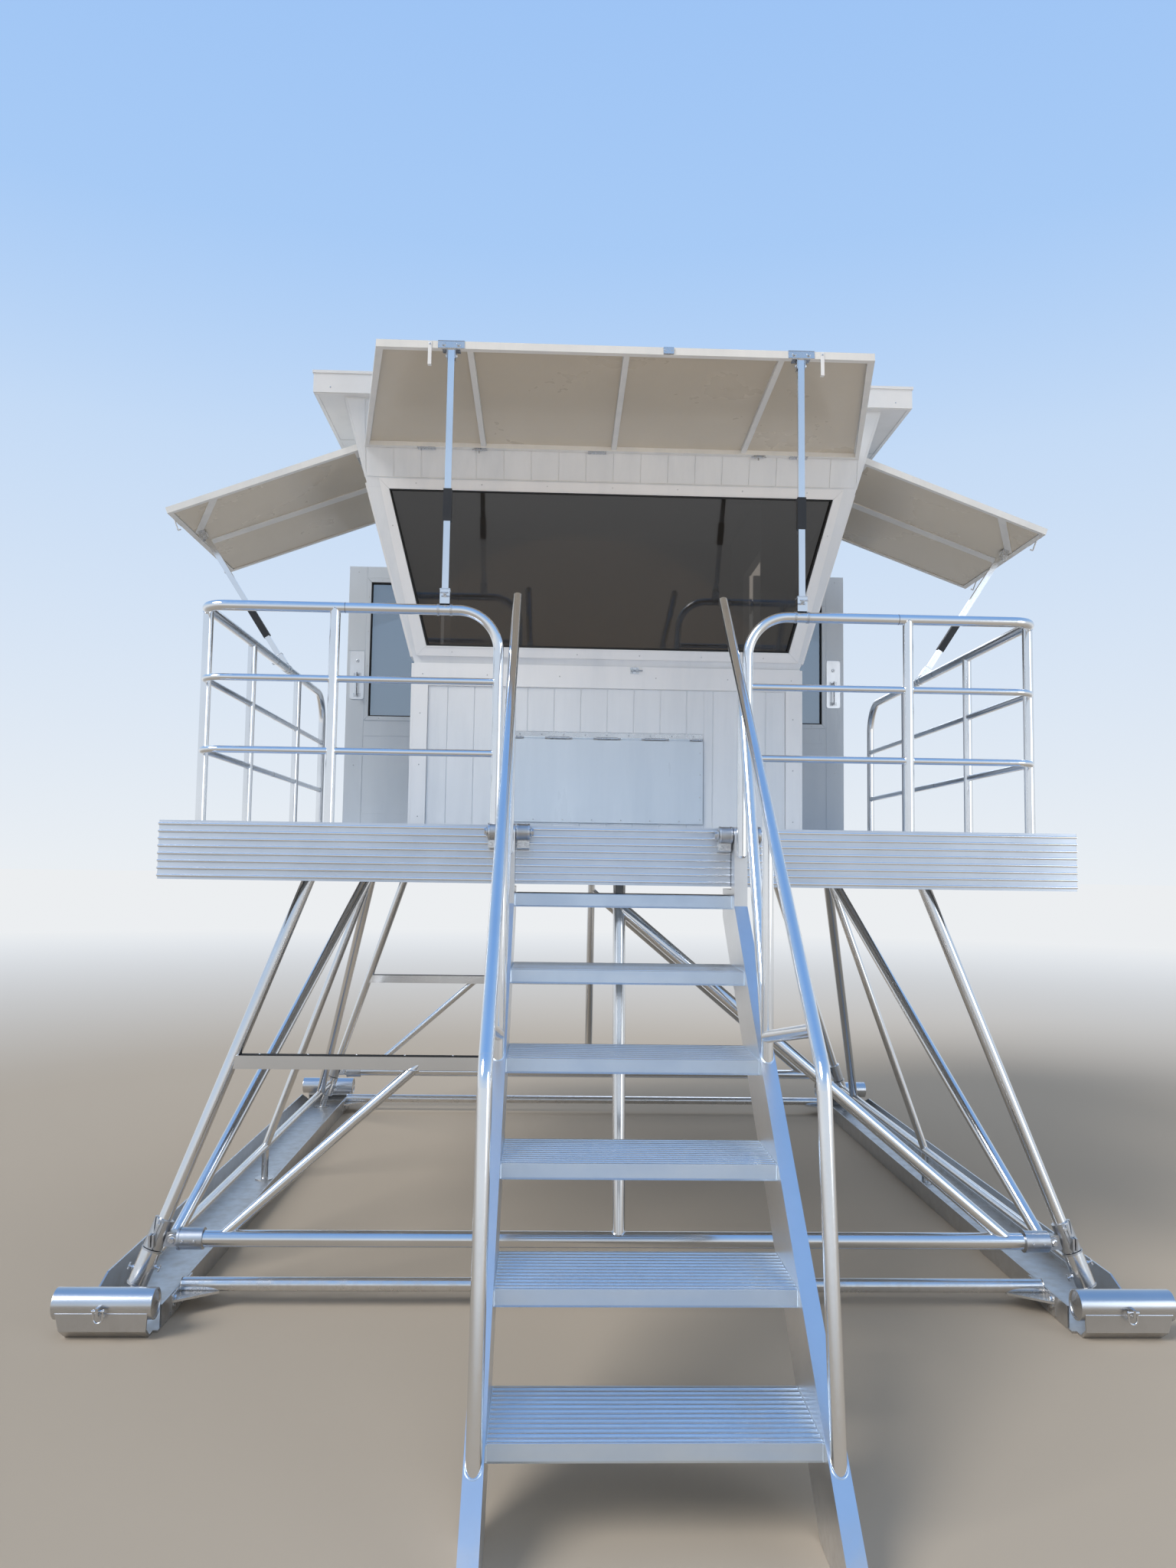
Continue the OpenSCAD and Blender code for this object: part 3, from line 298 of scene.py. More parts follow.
# %% [markdown]
# ## Aluminium
# Nearly all of the tower is bare aluminium: mill-finish tube that was brushed along its
# length, and extruded plank whose face has fine drawn lines. A bare metal has no colour of
# its own to speak of, so what makes it look real is how its roughness changes: long streaks,
# cloudy handling marks and a little dust low down. Drawn lines finer than a pixel can't be
# a bump, so they are an anisotropic shine, which spreads a highlight across the lines.


# %% Aluminium
def aluminium(name, tone, rough, streak=(1, 1, 1), dust=0.0, cloud=2.2, lines="",
              tint=(0.985, 0.99, 1.0)):
    """tone is the metal's brightness, dust how high in metres dust has dulled it, and lines
    the axis that its drawn lines run along, which spread the shine across them."""
    dust_colour, dusty_shine, dusty_metal = (0.40, 0.35, 0.28), 0.60, 0.45
    cloud_shade, fine_depth, line_spread = 0.92, 0.00003, 0.85
    made, tree, surface = new_material(name)
    clouds = pattern(tree, cloud, detail=5.0)
    streaks = pattern(tree, 90.0, streak, detail=3.0)
    fine = pattern(tree, 700.0, streak, detail=2.0)
    bright = tuple(tone * c for c in tint)
    dull = tuple(cloud_shade * tone * c for c in tint)
    colour = blend_colours(tree, spread(tree, clouds, 0.0, 1.0), dull, bright)
    both = add(tree, "ShaderNodeMath", operation="ADD")
    tree.links.new(spread(tree, clouds, rough + 0.05, rough - 0.03), both.inputs[0])
    tree.links.new(spread(tree, streaks, -0.025, 0.03), both.inputs[1])
    shine = both.outputs[0]
    metal = None
    if dust:
        grains = pattern(tree, 15.0, detail=4.0, roughness=0.6)
        low = add(tree, "ShaderNodeMath", operation="MULTIPLY")
        tree.links.new(height_share(tree, 0.02, dust), low.inputs[0])
        tree.links.new(spread(tree, grains, 0.15, 0.55, 0.40, 0.75), low.inputs[1])
        colour = blend_colours(tree, low.outputs[0], colour, dust_colour)
        shine = spread(tree, low.outputs[0], rough, dusty_shine, 0.0, 1.0)
        metal = spread(tree, low.outputs[0], 1.0, dusty_metal, 0.0, 1.0)
    tree.links.new(colour, surface.inputs["Base Color"])
    tree.links.new(shine, surface.inputs["Roughness"])
    if metal is None:
        surface.inputs["Metallic"].default_value = 1.0
    else:
        tree.links.new(metal, surface.inputs["Metallic"])
    bumped(tree, surface, fine, fine_depth)
    if lines:
        surface.inputs["Anisotropic"].default_value = line_spread
        tangent = add(tree, "ShaderNodeTangent", direction_type="RADIAL", axis=lines)
        tree.links.new(tangent.outputs[0], surface.inputs["Tangent"])
    return made


rail_finish = aluminium("rail_aluminium", 0.85, 0.13)
frame_finish = aluminium("frame_aluminium", 0.78, 0.15, dust=0.30)
runner_finish = aluminium("runner_aluminium", 0.62, 0.27, streak=(1, 0.05, 1), dust=0.14, cloud=4.0)
# The blue in the planks' base colour is a painted reflection of the blue sky.
painted_sky_tint = (0.93, 0.98, 1.04)
plank_finish = aluminium("plank_aluminium", 0.84, 0.40, streak=(0.03, 1, 1), lines="X",
                         tint=painted_sky_tint)
side_plank_finish = aluminium("side_plank_aluminium", 0.84, 0.40, streak=(1, 0.03, 1), lines="Y",
                              tint=painted_sky_tint)
# The treads' stronger blue tint is a painted reflection of the blue sky.
tread_finish = aluminium("tread_aluminium", 0.93, 0.39, streak=(0.03, 1, 1), cloud=4.0, lines="X",
                         tint=(0.86, 0.95, 1.04))
stringer_finish = aluminium("stringer_aluminium", 0.80, 0.30, cloud=3.0, dust=0.20)
cast_finish = aluminium("cast_aluminium", 0.55, 0.34, cloud=30.0)
steel_finish = aluminium("stainless_steel", 0.68, 0.26, cloud=12.0)
plate_finish = aluminium("pale_plate_aluminium", 0.86, 0.34, cloud=8.0)
print("metals", [m.name for m in bpy.data.materials if "alumin" in m.name or "steel" in m.name])

# %% [markdown]
# ## Paint, plastic and glass
# The cabin is white paint over boards. Paint has a slight orange-peel skin that breaks up
# its shine, and rain leaves faint grey runs that are longer than they are wide, so the
# dirt's pattern is stretched downwards. The glass is a dark tint that still lets the back
# wall show, which needs real transmission and not only a dark colour.


# %% Paint
def paint(name, colour, rough, grime=0.10, runs=(7.0, 7.0, 0.8)):
    """runs says how the dirt is stretched, and grime how dark it gets."""
    peel, shade_tint, cloud_share = 0.00025, (0.97, 0.985, 1.0), 0.4
    made, tree, surface = new_material(name)
    shade = tuple(c * (1 - grime) * t for c, t in zip(colour, shade_tint))
    rain = pattern(tree, 1.0, runs, detail=6.0, roughness=0.6)
    clouds = pattern(tree, 1.3, detail=3.0)
    mixed = blend_colours(tree, spread(tree, rain, 0.0, 1.0, 0.42, 0.70), colour, shade)
    tone = tuple(c * (1 - cloud_share * grime) for c in colour)
    mixed = blend_colours(tree, spread(tree, clouds, 0.0, 0.6), mixed, tone)
    tree.links.new(mixed, surface.inputs["Base Color"])
    tree.links.new(spread(tree, rain, rough, rough + 0.14), surface.inputs["Roughness"])
    surface.inputs["Coat Weight"].default_value = 0.25
    surface.inputs["Coat Roughness"].default_value = 0.12
    bumped(tree, surface, pattern(tree, 260.0, detail=2.0), peel)
    return made


# The boards are white: their darker, bluer tone is painted shade, as under the shutters in blue
# skylight.
shaded_board_finish = paint("board_paint_painted_shade", (0.765, 0.79, 0.815), 0.34)
trim_finish = paint("trim_paint", (0.84, 0.845, 0.85), 0.28, grime=0.06)
roof_finish = paint("roof_paint", (0.80, 0.805, 0.81), 0.42, grime=0.16, runs=(1.2, 1.2, 1.2))
# The doors are white: their darker, bluer tone is painted shade.
shaded_door_finish = paint("door_paint", (0.70, 0.75, 0.80), 0.26, grime=0.06)
# The hatch is white: its still darker, bluer tone is painted shade from the front shutter above it.
shaded_hatch_finish = paint("hatch_paint_painted_shade", (0.62, 0.69, 0.76), 0.26, grime=0.08)
shutter_finish = paint("shutter_paint", (0.80, 0.795, 0.77), 0.40, grime=0.10)
# The lining's beige is painted warm light from the floor, with painted shade: the sheet itself is
# white-cream.
lining_bounce_and_shade_finish = paint("lining_painted_bounce_and_shade", (0.62, 0.555, 0.45), 0.22, grime=0.08, runs=(0.7, 0.7, 0.7))
print("paints", [m.name for m in bpy.data.materials if "paint" in m.name])


# %% Glass, rubber and plastic
def tinted_glass(name, tint, index=1.7):
    """Clear glass with a tint and faint smears."""
    rough, smeared = 0.03, 0.10
    made, tree, surface = new_material(name)
    surface.inputs["Base Color"].default_value = (*tint, 1.0)
    surface.inputs["Transmission Weight"].default_value = 0.85
    surface.inputs["IOR"].default_value = index
    smears = pattern(tree, 3.0, (1, 1, 0.4), detail=7.0, roughness=0.65)
    tree.links.new(spread(tree, smears, rough, smeared, 0.5, 0.75), surface.inputs["Roughness"])
    return made


def plastic(name, colour, rough):
    """A dull moulding, paler where it is rubbed."""
    made, tree, surface = new_material(name)
    worn = tuple(min(1.0, c * 1.5 + 0.01) for c in colour)
    marks = pattern(tree, 9.0, detail=6.0, roughness=0.7)
    tree.links.new(blend_colours(tree, spread(tree, marks, 0.0, 1.0, 0.5, 0.8), colour, worn),
                   surface.inputs["Base Color"])
    tree.links.new(spread(tree, marks, rough, rough + 0.15), surface.inputs["Roughness"])
    bumped(tree, surface, pattern(tree, 700.0, detail=2.0), 0.0002)
    return made


glass_finish = tinted_glass("window_tint", (0.10, 0.085, 0.07))
door_glass_finish = tinted_glass("door_tint", (0.30, 0.36, 0.42), index=1.55)
black_finish = plastic("black_plastic", (0.012, 0.012, 0.013), 0.45)
rubber_finish = plastic("gasket_rubber", (0.02, 0.02, 0.02), 0.7)
print("glass and plastics ready")

# %% [markdown]
# ## Finishes on the solids
# Each solid from the drawing keeps its own mesh and takes one of these finishes. A table
# from each finish to its solids is easier to check than a line for each of them, and the
# last line prints any solid that was forgotten.

# %% Finishes on the solids
finish_of = {
    runner_finish: ("runners", "runner_noses"),
    frame_finish: ("runner_pipes", "front_legs", "rear_legs", "left_side_braces",
                   "right_side_braces", "cross_tubes", "ground_tubes", "front_bracing",
                   "rear_bracing", "deck_beams", "deck_joists"),
    cast_finish: ("leg_clamps", "stair_brackets"),
    plank_finish: ("deck_planks", "front_fascia", "rear_fascia"),
    side_plank_finish: ("side_fascias",),
    rail_finish: ("left_front_railing", "right_front_railing", "left_side_railing",
                  "right_side_railing", "shutter_props", "stair_handrails"),
    shaded_board_finish: ("front_wall", "side_walls", "rear_wall", "front_flared_wall",
                   "left_flared_wall", "right_flared_wall"),
    trim_finish: ("window_frames", "wall_trim"),
    glass_finish: ("window_glass",),
    door_glass_finish: ("left_door_glass", "right_door_glass"),
    roof_finish: ("roof",),
    shutter_finish: ("front_shutter", "left_shutter", "right_shutter"),
    black_finish: ("prop_sleeves",),
    shaded_door_finish: ("left_door", "right_door"),
    shaded_hatch_finish: ("front_hatch",),
    steel_finish: ("tow_shackles", "door_hinges", "hatch_hinge"),
    stringer_finish: ("stair_stringers",),
    tread_finish: ("stair_treads",),
}
done = set()
for finish, names in finish_of.items():
    for name in names:
        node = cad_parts[name]
        node.data.materials.clear()
        node.data.materials.append(finish)
        done.add(name)
print("solids with a finish", len(done), "left over", sorted(set(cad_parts) - done))

# %% [markdown]
# ## Making pieces
# The small pieces are all built the same way: corners go into a bmesh in real metres, and
# the bmesh becomes an object that rides on a body of the model. A helper does the second
# half, so that each later cell holds nothing but the shape. Flat pieces keep hard edges and
# round ones are shaded smooth up to a sharp angle.


# %% From a bmesh to a piece
def piece(name, bm, finish, body="tower"):
    """Turns a bmesh into an object that rides on a body. Edges below an angle look round."""
    round_below = 35.0
    mesh = bpy.data.meshes.new(name)
    bmesh.ops.recalc_face_normals(bm, faces=bm.faces)
    bm.to_mesh(mesh)
    bm.free()
    mesh.materials.append(finish)
    mesh.shade_smooth()
    mesh.set_sharp_from_angle(angle=math.radians(round_below))
    made = bpy.data.objects.new(name, mesh)
    scene.collection.objects.link(made)
    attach(made, body)
    print(name, "faces", len(mesh.polygons))


def axes(origin, u, v, w):
    """A matrix that takes (u, v, w) in a plane's own metres to the tower's."""
    columns = [Vector(c).normalized() for c in (u, v, w)]
    matrix = Matrix(columns).transposed().to_4x4()
    matrix.translation = origin
    return matrix


def block(bm, low, high, bevel=0.0, place=Matrix()):
    """A box between two corners, with its edges broken."""
    size = [b - a for a, b in zip(low, high)]
    middle = [(a + b) / 2 for a, b in zip(low, high)]
    made = bmesh.ops.create_cube(bm, size=1.0)["verts"]
    bmesh.ops.scale(bm, vec=size, verts=made)
    bmesh.ops.translate(bm, vec=middle, verts=made)
    if bevel:
        edges = list({e for v in made for e in v.link_edges})
        cut = bmesh.ops.bevel(bm, geom=edges, offset=bevel, segments=1, affect="EDGES")
        made = list({v for f in cut["faces"] for v in f.verts} | {v for v in made if v.is_valid})
    bmesh.ops.transform(bm, matrix=place, verts=made)


def slab(bm, xs, ys, zs, bevel=0.001):
    """A box given by its ranges, with y counted back from the deck's front edge."""
    (x0, x1), (y0, y1) = sorted(xs), sorted(front_edge + y for y in ys)
    block(bm, (x0, y0, zs[0]), (x1, y1, zs[1]), bevel)


def on(place, u, v, w=0.0):
    """A point given in a plane's own metres."""
    return place @ Vector((u, v, w))


def way_of(place, u, v, w):
    """A direction given along a plane's own axes."""
    return place.to_3x3() @ Vector((u, v, w))


def rectangle(u0, v0, u1, v1):
    """The corners of an upright rectangle on a plane."""
    return [(u0, v0), (u1, v0), (u1, v1), (u0, v1)]


print("piece helpers ready")

# %% [markdown]
# ## Cabin boards
# The cabin is clad in upright boards about 165 mm wide with a narrow groove at each joint.
# A bump map could draw the grooves, but they would vanish in the exported mesh and at the
# edges, so each board is a real thin prism. Every wall is cut into panels that have no
# hollow corners, and each panel is sliced into boards by clipping it to strips.


# %% Slicing a wall into boards
def clipped(outline, normal, limit):
    """The part of a flat outline where the dot product with normal is at most limit."""
    kept = []
    for a, b in zip(outline, outline[1:] + outline[:1]):
        da, db = (p[0] * normal[0] + p[1] * normal[1] - limit for p in (a, b))
        if da <= 0:
            kept.append(a)
        if (da < 0 < db) or (db < 0 < da):
            share = da / (da - db)
            kept.append((a[0] + share * (b[0] - a[0]), a[1] + share * (b[1] - a[1])))
    return kept


# A hair keeps each piece off the face that it lies on, so that the two never flicker.
hair = 0.0002
board_width, groove, board_thick, board_chamfer, narrowest = 0.165, 0.005, 0.004, 0.0018, 0.012


def prism(bm, outline, place, thick, chamfer, base=0.0):
    """A thin board with its front edges chamfered, lying a hair above the plane w = base."""
    low = [bm.verts.new(on(place, u, v, base + hair)) for u, v in outline]
    top = [bm.verts.new(on(place, u, v, base + thick)) for u, v in outline]
    count = len(outline)
    for i in range(count):
        j = (i + 1) % count
        bm.faces.new((low[i], low[j], top[j], top[i]))
    front = bm.faces.new(top)
    bm.faces.new(low[::-1])
    bmesh.ops.bevel(bm, geom=list(front.edges), offset=chamfer, segments=1, affect="EDGES")


def clad(bm, panels, place):
    """Covers panels, each a list of (u, v) corners, with upright boards."""
    count = 0
    for panel in panels:
        first = math.floor(min(p[0] for p in panel) / board_width)
        last = math.ceil(max(p[0] for p in panel) / board_width)
        for k in range(first, last):
            strip = clipped(panel, (-1, 0), -(k * board_width + groove / 2))
            strip = clipped(strip, (1, 0), (k + 1) * board_width - groove / 2)
            across = [p[0] for p in strip]
            if len(strip) > 2 and max(across) - min(across) > narrowest:
                prism(bm, strip, place, board_thick, board_chamfer)
                count += 1
    return count


print("boards are", board_width, "m wide")

# %% The cabin's sizes and planes
cabin_half, cabin_front, cabin_back = 1.205, 1.718, 4.158
sill, soffit = 3.258, 4.768
lean = math.radians(15)
slope = (soffit - sill) / math.cos(lean)
door_front, door_back, door_top = 2.787, 3.511, 4.333
casing, corner_w, gap = 0.055, 0.092, 0.004
front_face = axes(at(0, cabin_front, deck_top), (1, 0, 0), (0, 0, 1), (0, -1, 0))
front_lean = axes(at(0, cabin_front, sill), (1, 0, 0), (0, -math.sin(lean), math.cos(lean)),
                  (0, -math.cos(lean), -math.sin(lean)))
rear_face = axes(at(0, cabin_back, deck_top), (-1, 0, 0), (0, 0, 1), (0, 1, 0))
side_face = {side: axes(at(side * cabin_half, 0, deck_top), (0, 1, 0), (0, 0, 1), (side, 0, 0))
             for side in (-1, 1)}
side_lean = {side: axes(at(side * cabin_half, 0, sill), (0, 1, 0),
                        (side * math.sin(lean), 0, math.cos(lean)),
                        (side * math.cos(lean), 0, -math.sin(lean))) for side in (-1, 1)}
print("flared walls are", round(slope, 3), "m up the slope")

# %% Boards on the front, round the hatch's opening
clear_half, wall_tall = cabin_half - corner_w, soffit - deck_top
hatch_half, hatch_low, hatch_high, band_low = 0.602, 0.084, 0.650, 0.922
front_boards = bmesh.new()
count = clad(front_boards, [rectangle(-clear_half, gap, -hatch_half, band_low),
                            rectangle(hatch_half, gap, clear_half, band_low),
                            rectangle(-hatch_half, hatch_high, hatch_half, band_low),
                            rectangle(-hatch_half, gap, hatch_half, hatch_low)], front_face)
piece("front_wall_boards", front_boards, shaded_board_finish)
print("boards", count)

# %% Boards above the windows, on the sides and on the back
over, under_soffit, mitre_gap = 1.112, slope - 0.006, 0.012


def flare(v):
    """How far a flared wall has moved out at v up its slope, less the mitre's gap."""
    return v * math.sin(lean) - mitre_gap


wide_low, wide_high = cabin_half + flare(over), cabin_half + flare(under_soffit)
fore_low, fore_high = cabin_front - flare(over), cabin_front - flare(under_soffit)
back = door_front - casing - 0.001
lean_boards, side_boards, side_lean_boards = bmesh.new(), bmesh.new(), bmesh.new()
rear_boards = bmesh.new()
count = clad(lean_boards, [[(-wide_low, over), (wide_low, over), (wide_high, under_soffit),
                            (-wide_high, under_soffit)]], front_lean)
for side in (-1, 1):
    count += clad(side_boards, [
        rectangle(cabin_front + corner_w + 0.002, gap, door_front - casing, sill - deck_top - 0.012),
        rectangle(door_front + gap, door_top - deck_top + casing, door_back, wall_tall - gap),
        rectangle(door_back + 0.050, gap, cabin_back - corner_w - 0.002, wall_tall - gap)],
        side_face[side])
    count += clad(side_lean_boards, [[(fore_low, over), (back, over), (back, under_soffit),
                                      (fore_high, under_soffit)]], side_lean[side])
piece("front_flared_boards", lean_boards, shaded_board_finish)
piece("side_wall_boards", side_boards, shaded_board_finish)
piece("side_flared_boards", side_lean_boards, shaded_board_finish)
count += clad(rear_boards, [rectangle(-clear_half, gap, clear_half, wall_tall - gap)], rear_face)
piece("rear_wall_boards", rear_boards, shaded_board_finish)
print("boards", count)

# %% [markdown]
# ## Trim boards
# Flat trim covers the ends of the boards: a casing in front of each doorway and over it, and
# corner boards at the back. Each is a plain strip with broken edges, since a knife-sharp edge
# catches no light and looks cut out of paper.

# %% Casings and corner boards
trim = bmesh.new()
lift, proud, trim_edge = 0.0003, 0.010, 0.002
upright = (deck_top + trim_edge, soffit - trim_edge)
for side in (-1, 1):
    thick = (side * (cabin_half + lift), side * (cabin_half + proud))
    slab(trim, thick, (door_front - casing, door_front - 0.002), (upright[0], sill - 0.014), trim_edge)
    slab(trim, thick, (door_front + gap, door_back), (door_top + 0.003, door_top + casing - 0.003),
         trim_edge)
    slab(trim, thick, (cabin_back - corner_w, cabin_back + proud), upright, trim_edge)
    slab(trim, (side * (cabin_half - 0.090), side * (cabin_half - lift)),
         (cabin_back + lift, cabin_back + proud), upright, trim_edge)
piece("cabin_corner_trim", trim, trim_finish)

# %% [markdown]
# ## Turned and mitred shapes
# Most of the fittings are one of three things: something round that a lathe could turn, a
# frame of four mitred strips, or a bead that follows a line. Blender has modifiers for all
# three, but they would be evaluated differently at export, so the corners are worked out.


# %% Places on the frame, which is the same at both sides and both ends
def spot(p, side=1, end=0):
    """A point given at the right front, moved to the left side or to the rear end."""
    return at(p[0] * side, deck_long - p[1] if end else p[1], p[2])


def turned_way(v, side=1, end=0):
    """A direction given at the right front, turned in the same manner."""
    return Vector((v[0] * side, -v[1] if end else v[1], v[2])).normalized()


def facing(origin, way):
    """A place whose third axis points along way."""
    way = Vector(way).normalized()
    first = way.orthogonal().normalized()
    return axes(origin, first, way.cross(first), way)


corners = [(side, end) for end in (0, 1) for side in (-1, 1)]
print("corners of the frame", len(corners))


# %% Lathe and mitred frame
def lathe(bm, profile, place, count=16, closed=False):
    """Turns (radius, height) points about the place's third axis."""
    rings = []
    for radius, height in profile:
        turns = 1 if radius < 1e-6 else count
        turned = [math.tau * i / turns for i in range(turns)]
        rings.append([bm.verts.new(on(place, radius * math.cos(a), radius * math.sin(a), height))
                      for a in turned])
    for low, high in zip(rings, rings[1:] + ([rings[0]] if closed else [])):
        for i in range(count):
            around = [low[i % len(low)], low[(i + 1) % len(low)],
                      high[(i + 1) % len(high)], high[i % len(high)]]
            around = list(dict.fromkeys(around))
            if len(around) > 2:
                bm.faces.new(around)


def cuff(bm, place, inner, outer, low, high, count=36):
    """A plain ring between two radii and two heights."""
    lathe(bm, [(inner, low), (outer, low), (outer, high), (inner, high)], place, count, True)


def stud(bm, place, radius, tall, across, down, count=28, low=0.0):
    """A disc or a nut whose outer edge is broken, across by down."""
    lathe(bm, [(0, low), (radius, low), (radius, tall - down), (radius - across, tall), (0, tall)],
          place, count)


def mitred(bm, outer, inner, place, low, high, chamfer=0.0008, slit=0.0006):
    """Strips between two outlines, cut on the slant where they meet."""
    for i in range(len(outer)):
        j = (i + 1) % len(outer)
        quad = [Vector(outer[i]), Vector(outer[j]), Vector(inner[j]), Vector(inner[i])]
        along = (quad[1] - quad[0]).normalized() * slit
        quad = [quad[0] + along, quad[1] - along, quad[2] - along, quad[3] + along]
        prism(bm, [tuple(q) for q in quad], place, high - low, chamfer, low)


print("lathe and mitred frame ready")


# %% Beads
def bead(bm, path, size, reference, closed=True):
    """A rippled bead along a path. reference is a direction that the path never takes."""
    sides, ripple = 6, 0.2
    count, rings = len(path), []
    for k, point in enumerate(path):
        ahead = path[(k + 1) % count] if closed or k + 1 < count else point
        behind = path[k - 1] if closed or k else point
        along = (ahead - behind).normalized()
        side = reference.cross(along).normalized()
        rise = along.cross(side)
        r = size * (1.0 - ripple * (k % 2))
        turned = [math.tau * s / sides for s in range(sides)]
        rings.append([bm.verts.new(point + r * (math.cos(a) * side + math.sin(a) * rise))
                      for a in turned])
    pairs = list(zip(rings, rings[1:])) + ([(rings[-1], rings[0])] if closed else [])
    for low, high in pairs:
        for s in range(sides):
            t = (s + 1) % sides
            bm.faces.new((low[s], low[t], high[t], high[s]))
    if not closed:
        bm.faces.new(rings[0][::-1])
        bm.faces.new(rings[-1])


print("beads ready")

# %% [markdown]
# ## Bolts, screws and bars
# The tower is bolted and screwed together with stainless fasteners a few millimetres high.
# From the camera each one is a pixel or two, yet a row of them tells the eye how big a board
# is. A texture could draw the dots, but a turned head catches the sun on one edge, so every
# head is a real one, with a socket or six flats.


# %% Bolts, screws and bars
def hex_bolt(bm, point, way, across=0.019, tall=0.009):
    """A washer and a six-sided head with its corners broken."""
    place = facing(point, way)
    r = across / math.sqrt(3)
    washer = [(0, 0), (1.25 * r, 0), (1.25 * r, 0.0015), (1.15 * r, 0.0022), (0, 0.0022)]
    lathe(bm, washer, place, 20)
    stud(bm, place, r, tall, 0.14 * r, 0.2 * tall, 6, 0.002)


def screw(bm, point, way, r=0.005):
    """A pan head with a socket in its middle."""
    lathe(bm, [(0, 0), (r, 0), (0.97 * r, 0.3 * r), (0.78 * r, 0.62 * r), (0.45 * r, 0.72 * r),
               (0.38 * r, 0.72 * r), (0.36 * r, 0.4 * r), (0, 0.38 * r)], facing(point, way), 12)


def face_screw(bm, place, u, v, w, r):
    """A screw that stands up from a plane at height w."""
    screw(bm, on(place, u, v, w), way_of(place, 0, 0, 1), r)


def screw_ring(bm, outline, spacing, place, w, r):
    """Screws at even steps along each side of an outline."""
    ring = [Vector(p) for p in outline]
    for a, b in zip(ring, ring[1:] + ring[:1]):
        steps = max(2, round((b - a).length / spacing))
        for k in range(steps):
            p = a + (b - a) * ((k + 0.5) / steps)
            face_screw(bm, place, p.x, p.y, w, r)


def rod(bm, a, b, r):
    """A round bar with its ends broken."""
    a, b = Vector(a), Vector(b)
    long, c = (b - a).length, 0.15 * r
    lathe(bm, [(0, 0), (r - c, 0), (r, c), (r, long - c), (r - c, long), (0, long)],
          facing(a, b - a), 12)


def bar(bm, place, start, stop, r):
    """A rod between two points given in a plane's own metres."""
    rod(bm, on(place, *start), on(place, *stop), r)


print("bolts, screws and bars ready")

# %% [markdown]
# ## Shutter linings
# The camera looks up at the undersides of the shutters, where a white-cream sheet lies inside
# the cream rim. Its beige here is painted warm light from the floor, with painted shade. Paint
# on the solid alone can't do it, because the rim and the sheet belong to one solid. On the
# front shutter a sheet lies in each bay between the ribs. The shutter narrows outwards, so
# its outer bays are no rectangles, and their corners come from the same taper as the solid's.
# Each side shutter has a single sheet, one wide batten down its middle, and a short brace
# from the front edge to the prop's fork.

# %% The planes under the shutters
tilt_front, tilt_side = math.radians(2.5), math.radians(20.5)
deep, root_half, tip_half, shutter_z = 1.2, 1.49, 1.24, 4.530
front_root, side_root, side_middle = 1.3766, 1.5499, 2.097
front_under = axes(at(0, front_root, shutter_z), (1, 0, 0),
                   (0, -math.cos(tilt_front), math.sin(tilt_front)),
                   (0, -math.sin(tilt_front), -math.cos(tilt_front)))
side_under = {side: axes(at(side * side_root, side_middle, shutter_z), (0, 1, 0),
                         (side * math.cos(tilt_side), 0, -math.sin(tilt_side)),
                         (-side * math.sin(tilt_side), 0, -math.cos(tilt_side))) for side in (-1, 1)}
print("shutters are", deep, "m deep")

# %% Shutter linings, battens and braces
rim_in, rim_out, rib_half, rib_u = 0.032, 1.168, 0.017, 0.780
sheet_chamfer, batten_half, batten_thick, batten_chamfer = 0.0006, 0.040, 0.0055, 0.0012


def clear_width(v):
    """Half the clear width of the tapering front shutter, at v out from its hinge."""
    return root_half - (root_half - tip_half) * v / deep - rim_in


lining, side_linings, side_battens = bmesh.new(), bmesh.new(), bmesh.new()
bays = [rectangle(rib_half - rib_u, rim_in, -rib_half, rim_out),
        rectangle(rib_half, rim_in, rib_u - rib_half, rim_out)]
for side in (-1, 1):
    rib_out = side * (rib_u + rib_half)
    bays.append([(rib_out, rim_in), (rib_out, rim_out), (side * clear_width(rim_out), rim_out),
                 (side * clear_width(rim_in), rim_in)])
for bay in bays:
    prism(lining, bay, front_under, 0.0022, sheet_chamfer, 0.0082)
brace = [(-0.633, 0.895), (-0.633, 0.950), (-0.232, rim_out), (-0.160, 1.153)]
batten = rectangle(-batten_half, rim_in, batten_half, rim_out)
side_sheet = rectangle(-0.6345, rim_in - 0.0015, 0.6345, rim_out + 0.0015)
for place in side_under.values():
    prism(side_linings, side_sheet, place, 0.0020, sheet_chamfer, 0.0300)
    for outline in (batten, brace):
        prism(side_battens, outline, place, batten_thick, batten_chamfer, 0.0320)
piece("front_shutter_lining", lining, lining_bounce_and_shade_finish)
piece("side_shutter_linings", side_linings, lining_bounce_and_shade_finish)
piece("side_shutter_battens", side_battens, shutter_finish)

# %% [markdown]
# ## Shutter fittings
# Each prop ends in a fork under the shutter's rim, with a bolted plate over the rim's front
# edge. White drop hooks hang beside the plates to tie the shutter down when it is closed.
# They are only a few centimetres across, but they stand against the sky, so their outlines
# are what one sees. A function makes each kind, and takes the plane that it hangs under.

# %% Plates, forks and hooks on the shutters
shutter_steel, hooks, fork_steel = bmesh.new(), bmesh.new(), bmesh.new()
edge, thin_edge, rim_low = deep + hair, 0.0008, 0.0383


def edge_plate(place, u, half):
    """A plate over the rim's outer edge, with two bolts."""
    outside = deep + 0.003
    block(shutter_steel, (u - half, edge, 0.001), (u + half, outside, 0.0375), thin_edge, place)
    block(shutter_steel, (u - half, 1.150, -0.0026), (u + half, outside, -hair), thin_edge, place)
    for offset in (-0.55 * half, 0.55 * half):
        hex_bolt(shutter_steel, on(place, u + offset, outside, 0.019), way_of(place, 0, 1, 0),
                 0.015, 0.008)


